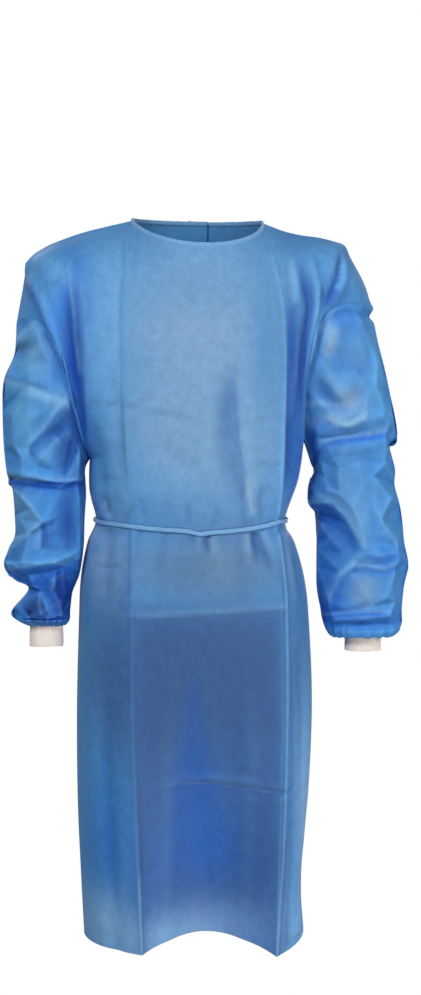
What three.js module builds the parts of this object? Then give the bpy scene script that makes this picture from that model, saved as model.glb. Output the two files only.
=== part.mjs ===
// Isolation gown, worn, with no wearer: long sleeves, knit cuffs, an open back that laps over itself,
// a bound neck with ties, and a narrow waist tie. Millimetres, +Z up, the front faces -Y.
// The origin is the middle of the neck opening, level with the sides of the neck.
import * as THREE from 'three';

// ---- driving dimensions -------------------------------------------------------------------------

const CLOTH = 1.5; // wall of the body and the sleeves
const KNIT = 2.2; // wall of the cuffs
const SEAM_GAP = 0.6; // between two pieces that are sewn together
const CLEAR = 0.4; // between a piece and what lies on it

const SHOULDER_COLUMNS = 7; // panel columns from the armhole or side seam to the pressed crease
const CENTRE_COLUMNS = 12; // panel columns between the two pressed creases of the front
const LAP_COLUMNS = 6; // panel columns from the back crease to the edge of the opening
const YOKE_ROWS = 8; // panel rows from the shoulder seam to the armpit
const ROWS_PER_SECTION = 2; // panel rows for each row of the BODY table

const LAP_RAISE = 3.6; // how far the upper back panel lies outside the lower one
const LAP_MARGIN = 4; // it is fully raised this far outside the lower panel's edge
const NECK_LAP = 24; // overlap of the opening at the neck, each way from the centre back

const BINDING = { height: 7, thickness: 2.6 };
const TIE = { width: 8, thickness: 2.4 };
const TIE_STEP = 20; // length of one step of a hanging tie end
const WAIST_LIFT = 3.2; // from the body's wall to the middle of the waist tie, over its gathers
const KNOT = { width: 20, depth: 9, height: 14 };
const KNOT_TUCK = 0.3; // how far the ends start above the lowest point of their rounded knot
const NECK_END = { length: 170, start: 5, spread: 14, clear: 4.5 };
const WAIST_END = { length: 300, start: 5, spread: 26, clear: 4.5 };
const CUFF_TUCK = 10; // how much of the cuff is up inside the end of the sleeve

// ---- tables: one row for each section -----------------------------------------------------------
// "out" is the distance from the centre line to the side, "y" the depth (the front is negative)

const NECK_SIDE = { out: 104, y: 6, z: 0 };

// centre front and centre back, from the neck edge down to the armpit row
const CENTRE_FRONT = [
  { y: -86, z: -49 },
  { y: -103, z: -115 },
  { y: -113, z: -190 },
  { y: -117, z: -270 },
];
const CENTRE_BACK = [
  { y: 78, z: 6 },
  { y: 96, z: -70 },
  { y: 106, z: -160 },
  { y: 108, z: -255 },
];

// the pressed creases, from the side of the neck down to the armpit row
const CREASE_FRONT = [
  NECK_SIDE,
  { out: 114, y: -66, z: -62 },
  { out: 120, y: -92, z: -150 },
  { out: 120, y: -99, z: -250 },
];
const CREASE_BACK = [
  NECK_SIDE,
  { out: 114, y: 68, z: -52 },
  { out: 119, y: 92, z: -140 },
  { out: 120, y: 98, z: -245 },
];

// the body below the armpits: height and half width at each side seam, half spacing of the pressed
// creases, depth at the front crease, at the centre front and at the centre back; then how far the row
// rises at the centre front and at each front crease; and the overlap of the back opening each way
const BODY_COLUMNS = [
  'zLeft', 'zRight', 'left', 'right', 'crease', 'creaseFront', 'front', 'back',
  'lift', 'liftLeft', 'liftRight', 'lap',
];
const BODY = [
  [-366, -335, 167, 163, 119, 98, 116, 106, 0, 0, 0, 32],
  [-412, -394, 167, 154, 117, 94, 110, 98, -10, -5, -4, 34],
  [-457, -456, 157, 133, 110, 82, 96, 87, -21, -11, -7, 36],
  [-492, -490, 170, 148, 110, 94, 106, 98, -16, -8, -6, 38],
  [-545, -545, 180, 163, 112, 107, 116, 112, -8, -4, -3, 41],
  [-612, -608, 183, 170, 113, 115, 120, 120, 0, 0, 0, 44],
  [-740, -736, 186, 175, 113, 121, 117, 124, 2, 0, 0, 48],
  [-880, -872, 185, 169, 109, 127, 110, 128, 6, 0, 0, 53],
  [-995, -988, 180, 156, 104, 131, 99, 131, 10, -2, -6, 58],
  [-1088, -1080, 175, 161, 99, 136, 88, 134, 13, -5, -18, 62],
].map((values) => Object.fromEntries(BODY_COLUMNS.map((column, index) => [column, values[index]])));
const WAIST_SECTION = 2; // the row of BODY that the waist tie lies on

// each side of the gown has its own pose: the shoulder seam from the neck to the armhole, the front
// half of the armhole from the shoulder seam to the armpit, and the sleeve. A sleeve row joins a point
// on the outer edge to one on the inner edge, "depth" is its half depth and "y" its middle. The end of
// the sleeve is drawn in round the cuff, with "ease" between them.
const LEFT = {
  sign: -1,
  shoulder: [
    NECK_SIDE,
    { out: 140, y: 6, z: -9 },
    { out: 176, y: 4, z: -19 },
    { out: 211, y: 2, z: -32 },
    { out: 236, y: 0, z: -44 },
    { out: 259, y: 0, z: -63 },
    { out: 268, y: 0, z: -105 },
    { out: 278, y: 0, z: -160 },
  ],
  armhole: [
    { out: 278, depth: 0, z: -160 },
    { out: 263, depth: 38, z: -154 },
    { out: 248, depth: 58, z: -160 },
    { out: 232, depth: 68, z: -178 },
    { out: 216, depth: 72, z: -208 },
    { out: 207, depth: 70, z: -251 },
    { out: 198, depth: 60, z: -292 },
    { out: 181, depth: 33, z: -342 },
    { out: 167, depth: 0, z: -366 },
  ],
  sleeve: [
    { outerX: 281, outerZ: -205, innerX: 173, innerZ: -377, depth: 66, y: 0 },
    { outerX: 297, outerZ: -246, innerX: 174, innerZ: -385, depth: 64, y: 0 },
    { outerX: 299, outerZ: -292, innerX: 173.5, innerZ: -394, depth: 60, y: 0 },
    { outerX: 297, outerZ: -348, innerX: 173, innerZ: -404, depth: 58, y: -2 },
    { outerX: 291, outerZ: -395, innerX: 172.5, innerZ: -416, depth: 55, y: -4 },
    { outerX: 284, outerZ: -412, innerX: 173, innerZ: -429, depth: 52, y: -5 },
    { outerX: 281, outerZ: -450, innerX: 175, innerZ: -458, depth: 52, y: -7 },
    { outerX: 281, outerZ: -483, innerX: 176, innerZ: -490, depth: 52, y: -9 },
    { outerX: 296, outerZ: -518, innerX: 179, innerZ: -518, depth: 52, y: -11 },
    { outerX: 294, outerZ: -535, innerX: 183, innerZ: -540, depth: 48, y: -12 },
    { outerX: 280, outerZ: -549, innerX: 188, innerZ: -553, depth: 44, y: -13 },
    { outerX: 260, outerZ: -562, innerX: 194, innerZ: -568, depth: 38, y: -14 },
    { outerX: 285, outerZ: -594, innerX: 197, innerZ: -592, depth: 44, y: -16 },
    { outerX: 281, outerZ: -607, innerX: 199, innerZ: -608, depth: 40, y: -17 },
  ],
  cuff: { middle: 233, halfWidth: 25.5, halfDepth: 22, y: -18, topZ: -617, height: 31, ease: 1.4 },
};
const RIGHT = {
  sign: 1,
  shoulder: [
    NECK_SIDE,
    { out: 135, y: 6, z: -11 },
    { out: 163, y: 5, z: -17 },
    { out: 193, y: 3, z: -21 },
    { out: 225, y: 0, z: -32 },
    { out: 242, y: 0, z: -57 },
    { out: 263, y: 0, z: -97 },
    { out: 274, y: 0, z: -138 },
  ],
  armhole: [
    { out: 274, depth: 0, z: -138 },
    { out: 249, depth: 42, z: -128 },
    { out: 226, depth: 60, z: -128 },
    { out: 204, depth: 68, z: -134 },
    { out: 182, depth: 72, z: -150 },
    { out: 166, depth: 72, z: -188 },
    { out: 157, depth: 60, z: -248 },
    { out: 158, depth: 32, z: -308 },
    { out: 164, depth: 0, z: -335 },
  ],
  sleeve: [
    { outerX: 285, outerZ: -197, innerX: 168, innerZ: -344, depth: 68, y: 0 },
    { outerX: 300, outerZ: -260, innerX: 172, innerZ: -356, depth: 66, y: 0 },
    { outerX: 312, outerZ: -331, innerX: 177, innerZ: -372, depth: 62, y: 0 },
    { outerX: 301, outerZ: -347, innerX: 180, innerZ: -382, depth: 56, y: -2 },
    { outerX: 308, outerZ: -380, innerX: 175, innerZ: -393, depth: 57, y: -3 },
    { outerX: 307, outerZ: -404, innerX: 171, innerZ: -412, depth: 56, y: -4 },
    { outerX: 315, outerZ: -436, innerX: 172, innerZ: -434, depth: 57, y: -6 },
    { outerX: 319, outerZ: -466, innerX: 184, innerZ: -452, depth: 56, y: -8 },
    { outerX: 321, outerZ: -493, innerX: 184, innerZ: -491, depth: 55, y: -10 },
    { outerX: 327, outerZ: -528, innerX: 183, innerZ: -530, depth: 54, y: -12 },
    { outerX: 320, outerZ: -560, innerX: 183, innerZ: -560, depth: 53, y: -14 },
    { outerX: 316, outerZ: -592, innerX: 188, innerZ: -592, depth: 52, y: -16 },
    { outerX: 314, outerZ: -622, innerX: 194, innerZ: -620, depth: 48, y: -17 },
    { outerX: 298, outerZ: -638, innerX: 206, innerZ: -638, depth: 40, y: -18 },
  ],
  cuff: { middle: 254, halfWidth: 28, halfDepth: 23, y: -18, topZ: -633, height: 27, ease: 0.6 },
};

// the largest folds, as straight runs in front view: a negative depth is a valley. "face" is -1 for
// folds of the front and 1 for folds of the back.
const FOLDS = [
  { x0: -196, z0: -60, x1: -188, z1: -235, width: 12, depth: -14, face: -1 },
  { x0: -188, z0: -235, x1: -164, z1: -335, width: 11, depth: -12, face: -1 },
  { x0: 146, z0: -45, x1: 138, z1: -290, width: 11, depth: -9, face: -1 },
  { x0: -196, z0: -60, x1: -186, z1: -300, width: 12, depth: -11, face: 1 },
  { x0: 164, z0: -60, x1: 140, z1: -285, width: 11, depth: -10, face: 1 },
  { x0: -190, z0: -410, x1: -262, z1: -398, width: 13, depth: -8, face: -1 },
  { x0: 196, z0: -340, x1: 300, z1: -338, width: 14, depth: -9, face: -1 },
  { x0: 196, z0: -538, x1: 316, z1: -534, width: 12, depth: -6, face: -1 },
  { x0: -188, z0: -520, x1: -282, z1: -528, width: 12, depth: -7, face: -1 },
  { x0: 200, z0: -352, x1: 296, z1: -362, width: 14, depth: -8, face: 1 },
  { x0: -192, z0: -424, x1: -270, z1: -410, width: 13, depth: -8, face: 1 },
];

// ---- curves -------------------------------------------------------------------------------------

function smoothValue(before, from, to, after, t) {
  const bend = 2 * before - 5 * from + 4 * to - after;
  const twist = 3 * (from - to) + after - before;
  return from + 0.5 * t * (to - before + t * (bend + t * twist));
}

// every column of a table at t from 0 to 1, on a smooth curve through its rows
function along(table, t) {
  const last = table.length - 1;
  const row = Math.min(Math.floor(t * last), last - 1);
  const at = (index) => table[THREE.MathUtils.clamp(index, 0, last)];
  const result = {};
  for (const column of Object.keys(table[0])) {
    const values = [row - 1, row, row + 1, row + 2].map((index) => at(index)[column]);
    result[column] = smoothValue(...values, t * last - row);
  }
  return result;
}

const mix = THREE.MathUtils.lerp;
const shareBetween = (from, to, value) => THREE.MathUtils.clamp((value - from) / (to - from), 0, 1);

const point = (side, place) => new THREE.Vector3(side.sign * place.out, place.y, place.z);

// ---- the panels' surface ------------------------------------------------------------------------

const sideWidth = (side, section) => (side === LEFT ? section.left : section.right);
const sideHeight = (side, section) => (side === LEFT ? section.zLeft : section.zRight);

// height of a row at a place across it, with its rise there on the front
function rowHeight(section, x, face, lift) {
  const across = (x + section.left) / (section.left + section.right);
  return mix(section.zLeft, section.zRight, across) + (face < 0 ? lift : 0);
}

const BACK_CREASE_SHARE = 0.93; // depth at the back crease, as a share of the depth at the centre
const SIDE_ROUNDNESS = 0.6; // how full the side of a section is between its crease and its seam

function creaseOnBody(side, section, face) {
  const x = side.sign * section.crease;
  const y = face < 0 ? -section.creaseFront : section.back * BACK_CREASE_SHARE;
  const lift = side === LEFT ? section.liftLeft : section.liftRight;
  return { out: section.crease, y, z: rowHeight(section, x, face, lift) };
}

function centreOnBody(section, face) {
  return { y: face < 0 ? -section.front : section.back, z: rowHeight(section, 0, face, section.lift) };
}

// a section below the armpit, from its side seam (t = 0) to its crease (t = 1)
function sideOfBody(side, section, face, t) {
  const seam = new THREE.Vector3(side.sign * sideWidth(side, section), 0, sideHeight(side, section));
  const crease = point(side, creaseOnBody(side, section, face));
  const bulge = new THREE.Vector3(seam.x, crease.y * SIDE_ROUNDNESS, mix(seam.z, crease.z, 0.5));
  return new THREE.QuadraticBezierCurve3(seam, bulge, crease).getPoint(t);
}

// a point of the armhole, front or back half, from the shoulder seam (t = 0) to the armpit (t = 1)
function armholePoint(side, face, t) {
  const place = along(side.armhole, t);
  return new THREE.Vector3(side.sign * place.out, face * place.depth, place.z);
}

const yokeCrease = (side, face, v) => {
  const table = face < 0 ? CREASE_FRONT : CREASE_BACK;
  return along([...table, creaseOnBody(side, BODY[0], face)], v);
};
const yokeCentre = (face, v) => {
  const table = face < 0 ? CENTRE_FRONT : CENTRE_BACK;
  return along([...table, centreOnBody(BODY[0], face)], v);
};

// the yoke between the armhole and the crease: a surface through its four edges
function sideOfYoke(side, face, u, v) {
  const shoulder = (t) => point(side, along(side.shoulder, 1 - t));
  const result = shoulder(u).multiplyScalar(1 - v);
  result.addScaledVector(sideOfBody(side, BODY[0], face, u), v);
  result.addScaledVector(armholePoint(side, face, v), 1 - u);
  result.addScaledVector(point(side, yokeCrease(side, face, v)), u);
  result.addScaledVector(shoulder(0), -(1 - u) * (1 - v));
  result.addScaledVector(shoulder(1), -u * (1 - v));
  result.addScaledVector(sideOfBody(side, BODY[0], face, 0), -(1 - u) * v);
  result.addScaledVector(sideOfBody(side, BODY[0], face, 1), -u * v);
  return result;
}

const NECK_REACH = 3; // rows of the yoke, less one, that still follow the round of the neck edge
const NECK_FULLNESS = 0.6; // 0.5 is an ellipse; more is flatter

// the surface between the two creases, from the curves at its centre and its crease. "past" goes from
// 0 at the crease to 1 at x = "end"; "round" is 1 on the neck edge and 0 on the flat of the body.
function betweenCreases(side, centre, crease, { past, end, round }) {
  const reach = side.sign * crease.out;
  const arc = reach * Math.cos(past * Math.acos(end / reach));
  const x = mix(mix(reach, end, past), arc, round);
  const square = Math.min((x / reach) ** 2, 1);
  const share = mix(square, 1 - (1 - square) ** NECK_FULLNESS, round);
  return new THREE.Vector3(x, mix(centre.y, crease.y, share), mix(centre.z, crease.z, share));
}

const LAST_ROW = YOKE_ROWS + ROWS_PER_SECTION * (BODY.length - 1);

// the section of the body at a panel row; every row of the yoke gets the first one
const sectionAt = (row) => along(BODY, Math.max(row - YOKE_ROWS, 0) / (LAST_ROW - YOKE_ROWS));

// one point of a panel: "row" counts down from the shoulder, "across" is 0..1 from the armhole or side
// seam to the crease; past 1 it goes on across the panel, to 2 at x = "end"
function panelPoint(side, face, row, across, end) {
  const v = row / YOKE_ROWS;
  const inYoke = v < 1;
  const section = sectionAt(row);
  if (across <= 1) {
    return inYoke ? sideOfYoke(side, face, across, v) : sideOfBody(side, section, face, across);
  }
  const crease = inYoke ? yokeCrease(side, face, v) : creaseOnBody(side, section, face);
  const centre = inYoke ? yokeCentre(face, v) : centreOnBody(section, face);
  const round = Math.max(1 - row / NECK_REACH, 0);
  return betweenCreases(side, centre, crease, { past: across - 1, end, round });
}

function grid(rows, columns, place) {
  const result = [];
  for (let row = 0; row <= rows; row += 1) {
    const line = [];
    for (let column = 0; column <= columns; column += 1) {
      line.push(place(row, column));
    }
    result.push(line);
  }
  return result;
}

function frontGrid() {
  const half = SHOULDER_COLUMNS + CENTRE_COLUMNS / 2;
  return grid(LAST_ROW, 2 * half, (row, column) => {
    const side = column <= half ? LEFT : RIGHT;
    const inward = column <= half ? column : 2 * half - column;
    const centreShare = (inward - SHOULDER_COLUMNS) / (CENTRE_COLUMNS / 2);
    const across = inward <= SHOULDER_COLUMNS ? inward / SHOULDER_COLUMNS : 1 + centreShare;
    return panelPoint(side, -1, row, across, 0);
  });
}

// overlap of the opening at a row, each way from the centre back
function lapAt(row) {
  const { lap } = sectionAt(row);
  return row < YOKE_ROWS ? mix(NECK_LAP, lap, row / YOKE_ROWS) : lap;
}

// distance of the back crease from the centre line at a row
function creaseOut(row) {
  return row < YOKE_ROWS ? yokeCrease(RIGHT, 1, row / YOKE_ROWS).out : sectionAt(row).crease;
}

// how far the upper panel has risen at x, on its way from the crease to the lower panel's edge
function lapRaise(x, crease, lap) {
  return LAP_RAISE * THREE.MathUtils.smoothstep(crease - x, 0, crease - lap - LAP_MARGIN);
}

function backGrid(side) {
  return grid(LAST_ROW, SHOULDER_COLUMNS + LAP_COLUMNS, (row, column) => {
    const past = (column - SHOULDER_COLUMNS) / LAP_COLUMNS;
    const across = column <= SHOULDER_COLUMNS ? column / SHOULDER_COLUMNS : 1 + past;
    const lap = lapAt(row);
    const place = panelPoint(side, 1, row, across, -side.sign * lap);
    if (side === RIGHT && across > 1) {
      place.y += lapRaise(place.x, creaseOut(row), lap);
    }
    return place;
  });
}

const RING_CORNERS = 2 * YOKE_ROWS; // corners round a sleeve: one for each row of both armhole halves
const SLEEVE_FULLNESS = 0.86; // 1 is an ellipse; less is squarer

function ringPoint(side, outer, inner, halfDepth, y, corner) {
  const angle = (2 * Math.PI * corner) / RING_CORNERS;
  const share = 0.5 - 0.5 * Math.cos(angle);
  const swell = Math.sign(Math.sin(angle)) * Math.abs(Math.sin(angle)) ** SLEEVE_FULLNESS;
  const x = mix(outer.x, inner.x, share);
  return new THREE.Vector3(side.sign * x, y - halfDepth * swell, mix(outer.z, inner.z, share));
}

function sleeveGrid(side) {
  const { cuff } = side;
  const armhole = [];
  for (let corner = 0; corner < RING_CORNERS; corner += 1) {
    const front = corner <= YOKE_ROWS;
    const down = front ? corner : RING_CORNERS - corner;
    armhole.push(armholePoint(side, front ? -1 : 1, down / YOKE_ROWS));
  }
  const rings = side.sleeve.map((row) => {
    const outer = { x: row.outerX, z: row.outerZ };
    const inner = { x: row.innerX, z: row.innerZ };
    return armhole.map((_, corner) => ringPoint(side, outer, inner, row.depth, row.y, corner));
  });
  const end = { out: cuff.halfWidth + cuff.ease, deep: cuff.halfDepth + cuff.ease };
  const outer = { x: cuff.middle + end.out, z: cuff.topZ };
  const inner = { x: cuff.middle - end.out, z: cuff.topZ };
  const last = armhole.map((_, corner) => ringPoint(side, outer, inner, end.deep, cuff.y, corner));
  return [armhole, ...rings, last];
}

function cuffGrid(side) {
  const { cuff } = side;
  const outer = { x: cuff.middle + cuff.halfWidth };
  const inner = { x: cuff.middle - cuff.halfWidth };
  return [CUFF_TUCK, 0, -cuff.height].map((rise) => {
    const z = cuff.topZ + rise;
    const ring = [];
    for (let corner = 0; corner < RING_CORNERS; corner += 1) {
      ring.push(ringPoint(side, { ...outer, z }, { ...inner, z }, cuff.halfDepth, cuff.y, corner));
    }
    return ring;
  });
}

// ---- cloth walls --------------------------------------------------------------------------------

class Cloth {
  constructor(name, rows, { closed, thickness, centre }) {
    this.name = name;
    this.rows = rows;
    this.closed = closed;
    this.thickness = thickness;
    this.centre = centre;
    this.turned = false;
    this.measureNormals();
    this.faceOutward();
  }

  get columns() {
    return this.rows[0].length;
  }

  // the corners of each cell, as [row, column], in order round it
  cells() {
    const wide = this.closed ? this.columns : this.columns - 1;
    const result = [];
    for (let row = 0; row < this.rows.length - 1; row += 1) {
      for (let column = 0; column < wide; column += 1) {
        const next = (column + 1) % this.columns;
        const cell = [[row, column], [row + 1, column], [row + 1, next], [row, next]];
        result.push(this.turned ? cell.reverse() : cell);
      }
    }
    return result;
  }

  measureNormals() {
    this.normals = this.rows.map((line) => line.map(() => new THREE.Vector3()));
    for (const cell of this.cells()) {
      const [a, b, c, d] = cell.map(([row, column]) => this.rows[row][column]);
      const normal = c.clone().sub(a).cross(d.clone().sub(b));
      for (const [row, column] of cell) {
        this.normals[row][column].add(normal);
      }
    }
    this.normals.flat().forEach((normal) => normal.normalize());
  }

  faceOutward() {
    let outward = 0;
    this.rows.forEach((line, row) => line.forEach((place, column) => {
      const away = place.clone().sub(this.centre(place.z)).setZ(0);
      outward += away.dot(this.normals[row][column]);
    }));
    if (outward < 0) {
      this.turned = true;
      this.measureNormals();
    }
  }

  fold() {
    this.rows.forEach((line, row) => line.forEach((place, column) => {
      const normal = this.normals[row][column];
      place.addScaledVector(normal, foldHeight(place, normal));
    }));
    this.measureNormals();
  }

  // the direction along the grid at a point, towards its next row or its next column
  stride(row, column, down) {
    const lastRow = this.rows.length - 1;
    const lastColumn = this.columns - 1;
    if (down) {
      const above = this.rows[Math.max(row - 1, 0)][column];
      return this.rows[Math.min(row + 1, lastRow)][column].clone().sub(above);
    }
    const next = this.closed ? (column + 1) % this.columns : Math.min(column + 1, lastColumn);
    const previous = this.closed ? (column + lastColumn) % this.columns : Math.max(column - 1, 0);
    return this.rows[row][next].clone().sub(this.rows[row][previous]);
  }

  // draws the open edges back from the seams by half of the gap, square to each edge
  drawBack(gap) {
    const lastRow = this.rows.length - 1;
    const lastColumn = this.columns - 1;
    const square = (row, column, down, towards) => {
      const direction = this.stride(row, column, down).cross(this.normals[row][column]).normalize();
      return direction.multiplyScalar(Math.sign(direction.dot(towards)));
    };
    this.moved = this.rows.map((line, row) => line.map((place, column) => {
      const result = new THREE.Vector3();
      if (row === 0 || row === lastRow) {
        const inside = this.rows[row === 0 ? 1 : lastRow - 1][column];
        result.add(square(row, column, false, inside.clone().sub(place)));
      }
      if (!this.closed && (column === 0 || column === lastColumn)) {
        const inside = this.rows[row][column === 0 ? 1 : lastColumn - 1];
        result.add(square(row, column, true, inside.clone().sub(place)));
      }
      return result.multiplyScalar(gap / 2);
    }));
  }

  geometry() {
    const outer = this.rows.map((line, row) => line.map((place, column) =>
      place.clone().add(this.moved[row][column])));
    const inner = outer.map((line, row) => line.map((place, column) =>
      place.clone().addScaledVector(this.normals[row][column], -this.thickness)));
    const corners = [...outer.flat(), ...inner.flat()];
    const count = this.rows.length * this.columns;
    const at = ([row, column]) => row * this.columns + column;
    const index = [];
    const quad = (a, b, c, d) => index.push(a, b, c, a, c, d);
    const edges = new Map();
    for (const cell of this.cells()) {
      const [a, b, c, d] = cell.map(at);
      quad(a, b, c, d);
      quad(count + d, count + c, count + b, count + a);
      for (const [from, to] of [[a, b], [b, c], [c, d], [d, a]]) {
        if (!edges.delete(`${to} ${from}`)) {
          edges.set(`${from} ${to}`, [from, to]);
        }
      }
    }
    for (const [from, to] of edges.values()) {
      quad(to, from, count + from, count + to);
    }
    return solid(corners, index);
  }
}

function solid(corners, index) {
  const geometry = new THREE.BufferGeometry();
  geometry.setFromPoints(corners);
  geometry.setIndex(index);
  return geometry;
}

const FOLD_REACH = 1.6; // a fold is full where the cloth faces it, and gone where the normal's y is 0

// height of the folds at a point of the cloth, along its normal
function foldHeight(place, normal) {
  let height = 0;
  for (const fold of FOLDS) {
    const facing = THREE.MathUtils.clamp(FOLD_REACH * fold.face * normal.y, 0, 1);
    const run = new THREE.Vector2(fold.x1 - fold.x0, fold.z1 - fold.z0);
    const offset = new THREE.Vector2(place.x - fold.x0, place.z - fold.z0);
    const share = THREE.MathUtils.clamp(offset.dot(run) / run.lengthSq(), 0, 1);
    const distance = offset.addScaledVector(run, -share).length();
    height += fold.depth * facing * Math.exp(-((distance / fold.width) ** 2));
  }
  return height;
}

// where two or more pieces share a point they get one normal, so that their walls meet
function joinNormals(pieces) {
  const shared = new Map();
  const eachPoint = (work) => pieces.forEach((piece) => piece.rows.forEach((line, row) =>
    line.forEach((place, column) => {
      const key = place.toArray().map((value) => value.toFixed(3)).join(' ');
      work(key, piece.normals[row][column]);
    })));
  eachPoint((key, normal) => {
    shared.set(key, (shared.get(key) ?? new THREE.Vector3()).add(normal));
  });
  for (const side of [LEFT, RIGHT]) {
    const key = armholePoint(side, -1, 1).toArray().map((value) => value.toFixed(3)).join(' ');
    shared.set(key, new THREE.Vector3(0, 0, -1));
  }
  eachPoint((key, normal) => normal.copy(shared.get(key)).normalize());
}

// ---- strips: the binding, the ties and their knots ----------------------------------------------

const FLAT = [[-1, -1], [1, -1], [1, 1], [-1, 1]]; // corners of a strip: share of width, of thickness
const SOFT = [[-1, -0.4], [-0.8, -1], [0.8, -1], [1, -0.4], [1, 0.4], [0.8, 1], [-0.8, 1], [-1, 0.4]];

// a strip along its stops, each with a place, a direction across its width and an outward normal
function strip(stops, { width, thickness, outline = FLAT, closed = false }) {
  const corners = stops.flatMap(({ place, across, normal }) => outline.map(([wide, thick]) => {
    const corner = place.clone().addScaledVector(across, (wide * width) / 2);
    return corner.addScaledVector(normal, (thick * thickness) / 2);
  }));
  const size = outline.length;
  const steps = closed ? stops.length : stops.length - 1;
  const index = [];
  for (let step = 0; step < steps; step += 1) {
    const here = step * size;
    const there = ((step + 1) % stops.length) * size;
    for (let corner = 0; corner < size; corner += 1) {
      const next = (corner + 1) % size;
      index.push(here + corner, there + next, there + corner, here + corner, here + next, there + next);
    }
  }
  if (!closed) {
    const far = steps * size;
    for (let corner = 1; corner < size - 1; corner += 1) {
      index.push(0, corner + 1, corner, far, far + corner, far + corner + 1);
    }
  }
  return solid(corners, outwardOrder(corners, index));
}

function outwardOrder(corners, index) {
  let volume = 0;
  for (let start = 0; start < index.length; start += 3) {
    const [a, b, c] = index.slice(start, start + 3).map((number) => corners[number]);
    volume += a.dot(b.clone().cross(c));
  }
  return volume < 0 ? index.reverse() : index;
}

// stops along a line of panel points, each moved out by "lift" and up across the cloth by "rise"
function stopsOn(points, { lift, rise = 0, closed = false }) {
  const last = points.length - 1;
  return points.map(({ place, normal }, number) => {
    const before = points[closed ? (number + last) % points.length : Math.max(number - 1, 0)].place;
    const after = points[closed ? (number + 1) % points.length : Math.min(number + 1, last)].place;
    const across = after.clone().sub(before).cross(normal).normalize();
    across.multiplyScalar(Math.sign(across.z) || 1);
    const moved = place.clone().addScaledVector(normal, lift).addScaledVector(across, rise);
    return { place: moved, across, normal };
  });
}

function panelPoints(piece, row, columns) {
  return columns.map((column) => ({ place: piece.rows[row][column], normal: piece.normals[row][column] }));
}

const countUp = (from, to) => Array.from({ length: to - from + 1 }, (_, number) => from + number);
const countDown = (from, to) => countUp(to, from).reverse();

const BACK_EDGE = SHOULDER_COLUMNS + LAP_COLUMNS; // last column of a back panel

// the neck edge, from the lower back panel round the front to the upper one
function neckPoints() {
  return [
    ...panelPoints(backLeft, 0, countDown(BACK_EDGE, SHOULDER_COLUMNS)),
    ...panelPoints(front, 0, countUp(SHOULDER_COLUMNS + 1, SHOULDER_COLUMNS + CENTRE_COLUMNS - 1)),
    ...panelPoints(backRight, 0, countUp(SHOULDER_COLUMNS, BACK_EDGE)),
  ];
}

// once round the waist: the front, the upper back panel to its edge, then the lower one
function waistPoints() {
  const row = YOKE_ROWS + ROWS_PER_SECTION * WAIST_SECTION;
  return [
    ...panelPoints(front, row, countUp(0, 2 * SHOULDER_COLUMNS + CENTRE_COLUMNS)),
    ...panelPoints(backRight, row, countUp(1, BACK_EDGE)),
    ...panelPoints(backLeft, row, countDown(SHOULDER_COLUMNS + 1, 1)),
  ];
}

// a tie end that hangs straight from its knot until it meets the upper back panel, then lies down it,
// and spreads sideways as it falls
function hangingEnd({ top, length, start, spread, clear }) {
  const steps = Math.round(length / TIE_STEP);
  const place = (share) => {
    const z = top.z - share * length;
    const x = start + spread * share;
    return new THREE.Vector3(x, Math.max(top.y, backDepth(x, z) + clear), z);
  };
  return countUp(0, steps).map((step) => {
    const here = place(step / steps);
    const along = place((step + 1) / steps).sub(place((step - 1) / steps)).normalize();
    const across = new THREE.Vector3(1, 0, 0).addScaledVector(along, -along.x).normalize();
    return { place: here, across, normal: across.clone().cross(along).normalize() };
  });
}

// depth of the upper back panel at x and z, read from its rows
function backDepth(x, z) {
  const heightOf = (row) => backRight.rows[row][BACK_EDGE].z;
  const lower = countUp(1, LAST_ROW).find((row) => heightOf(row) <= z) ?? LAST_ROW;
  const depthIn = (row) => {
    const line = backRight.rows[row];
    const columns = countUp(SHOULDER_COLUMNS + 1, BACK_EDGE);
    const column = columns.find((number) => line[number].x <= x) ?? BACK_EDGE;
    const [from, to] = [line[column - 1], line[column]];
    return mix(from.y, to.y, shareBetween(from.x, to.x, x));
  };
  const share = shareBetween(heightOf(lower - 1), heightOf(lower), z);
  return mix(depthIn(lower - 1), depthIn(lower), share);
}

function knot({ width, depth, height }, centre) {
  const geometry = new THREE.IcosahedronGeometry(0.5, 1);
  geometry.scale(width, depth, height);
  geometry.translate(centre.x, centre.y, centre.z);
  return geometry;
}

// ---- the gown -----------------------------------------------------------------------------------

const bodyAxis = (z) => new THREE.Vector3(0, 0, z);

function ringCentre(rows) {
  return (z) => {
    const nearest = rows.reduce((best, ring) => {
      const centre = ring.reduce((sum, place) => sum.add(place), new THREE.Vector3());
      centre.divideScalar(ring.length);
      return !best || Math.abs(centre.z - z) < Math.abs(best.z - z) ? centre : best;
    }, null);
    return nearest;
  };
}

const body = { closed: false, thickness: CLOTH, centre: bodyAxis };

function tube(name, rows, thickness) {
  return new Cloth(name, rows, { closed: true, thickness, centre: ringCentre(rows) });
}

const front = new Cloth('front', frontGrid(), body);
const backLeft = new Cloth('back_left', backGrid(LEFT), body);
const backRight = new Cloth('back_right', backGrid(RIGHT), body);
const sleeveLeft = tube('sleeve_left', sleeveGrid(LEFT), CLOTH);
const sleeveRight = tube('sleeve_right', sleeveGrid(RIGHT), CLOTH);
const sewn = [front, backLeft, backRight, sleeveLeft, sleeveRight];
joinNormals(sewn);
sewn.forEach((piece) => piece.fold());
joinNormals(sewn);
sewn.forEach((piece) => piece.drawBack(SEAM_GAP));

const cuffs = [tube('cuff_left', cuffGrid(LEFT), KNIT), tube('cuff_right', cuffGrid(RIGHT), KNIT)];
cuffs.forEach((piece) => piece.drawBack(0));

const blue = { color: 0x3f83cf, roughness: 0.85, metalness: 0 };
const paleBlue = { color: 0x6ca6e8, roughness: 0.8, metalness: 0 };
const white = { color: 0xe6e0de, roughness: 0.95, metalness: 0 };

const group = new THREE.Group();

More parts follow.
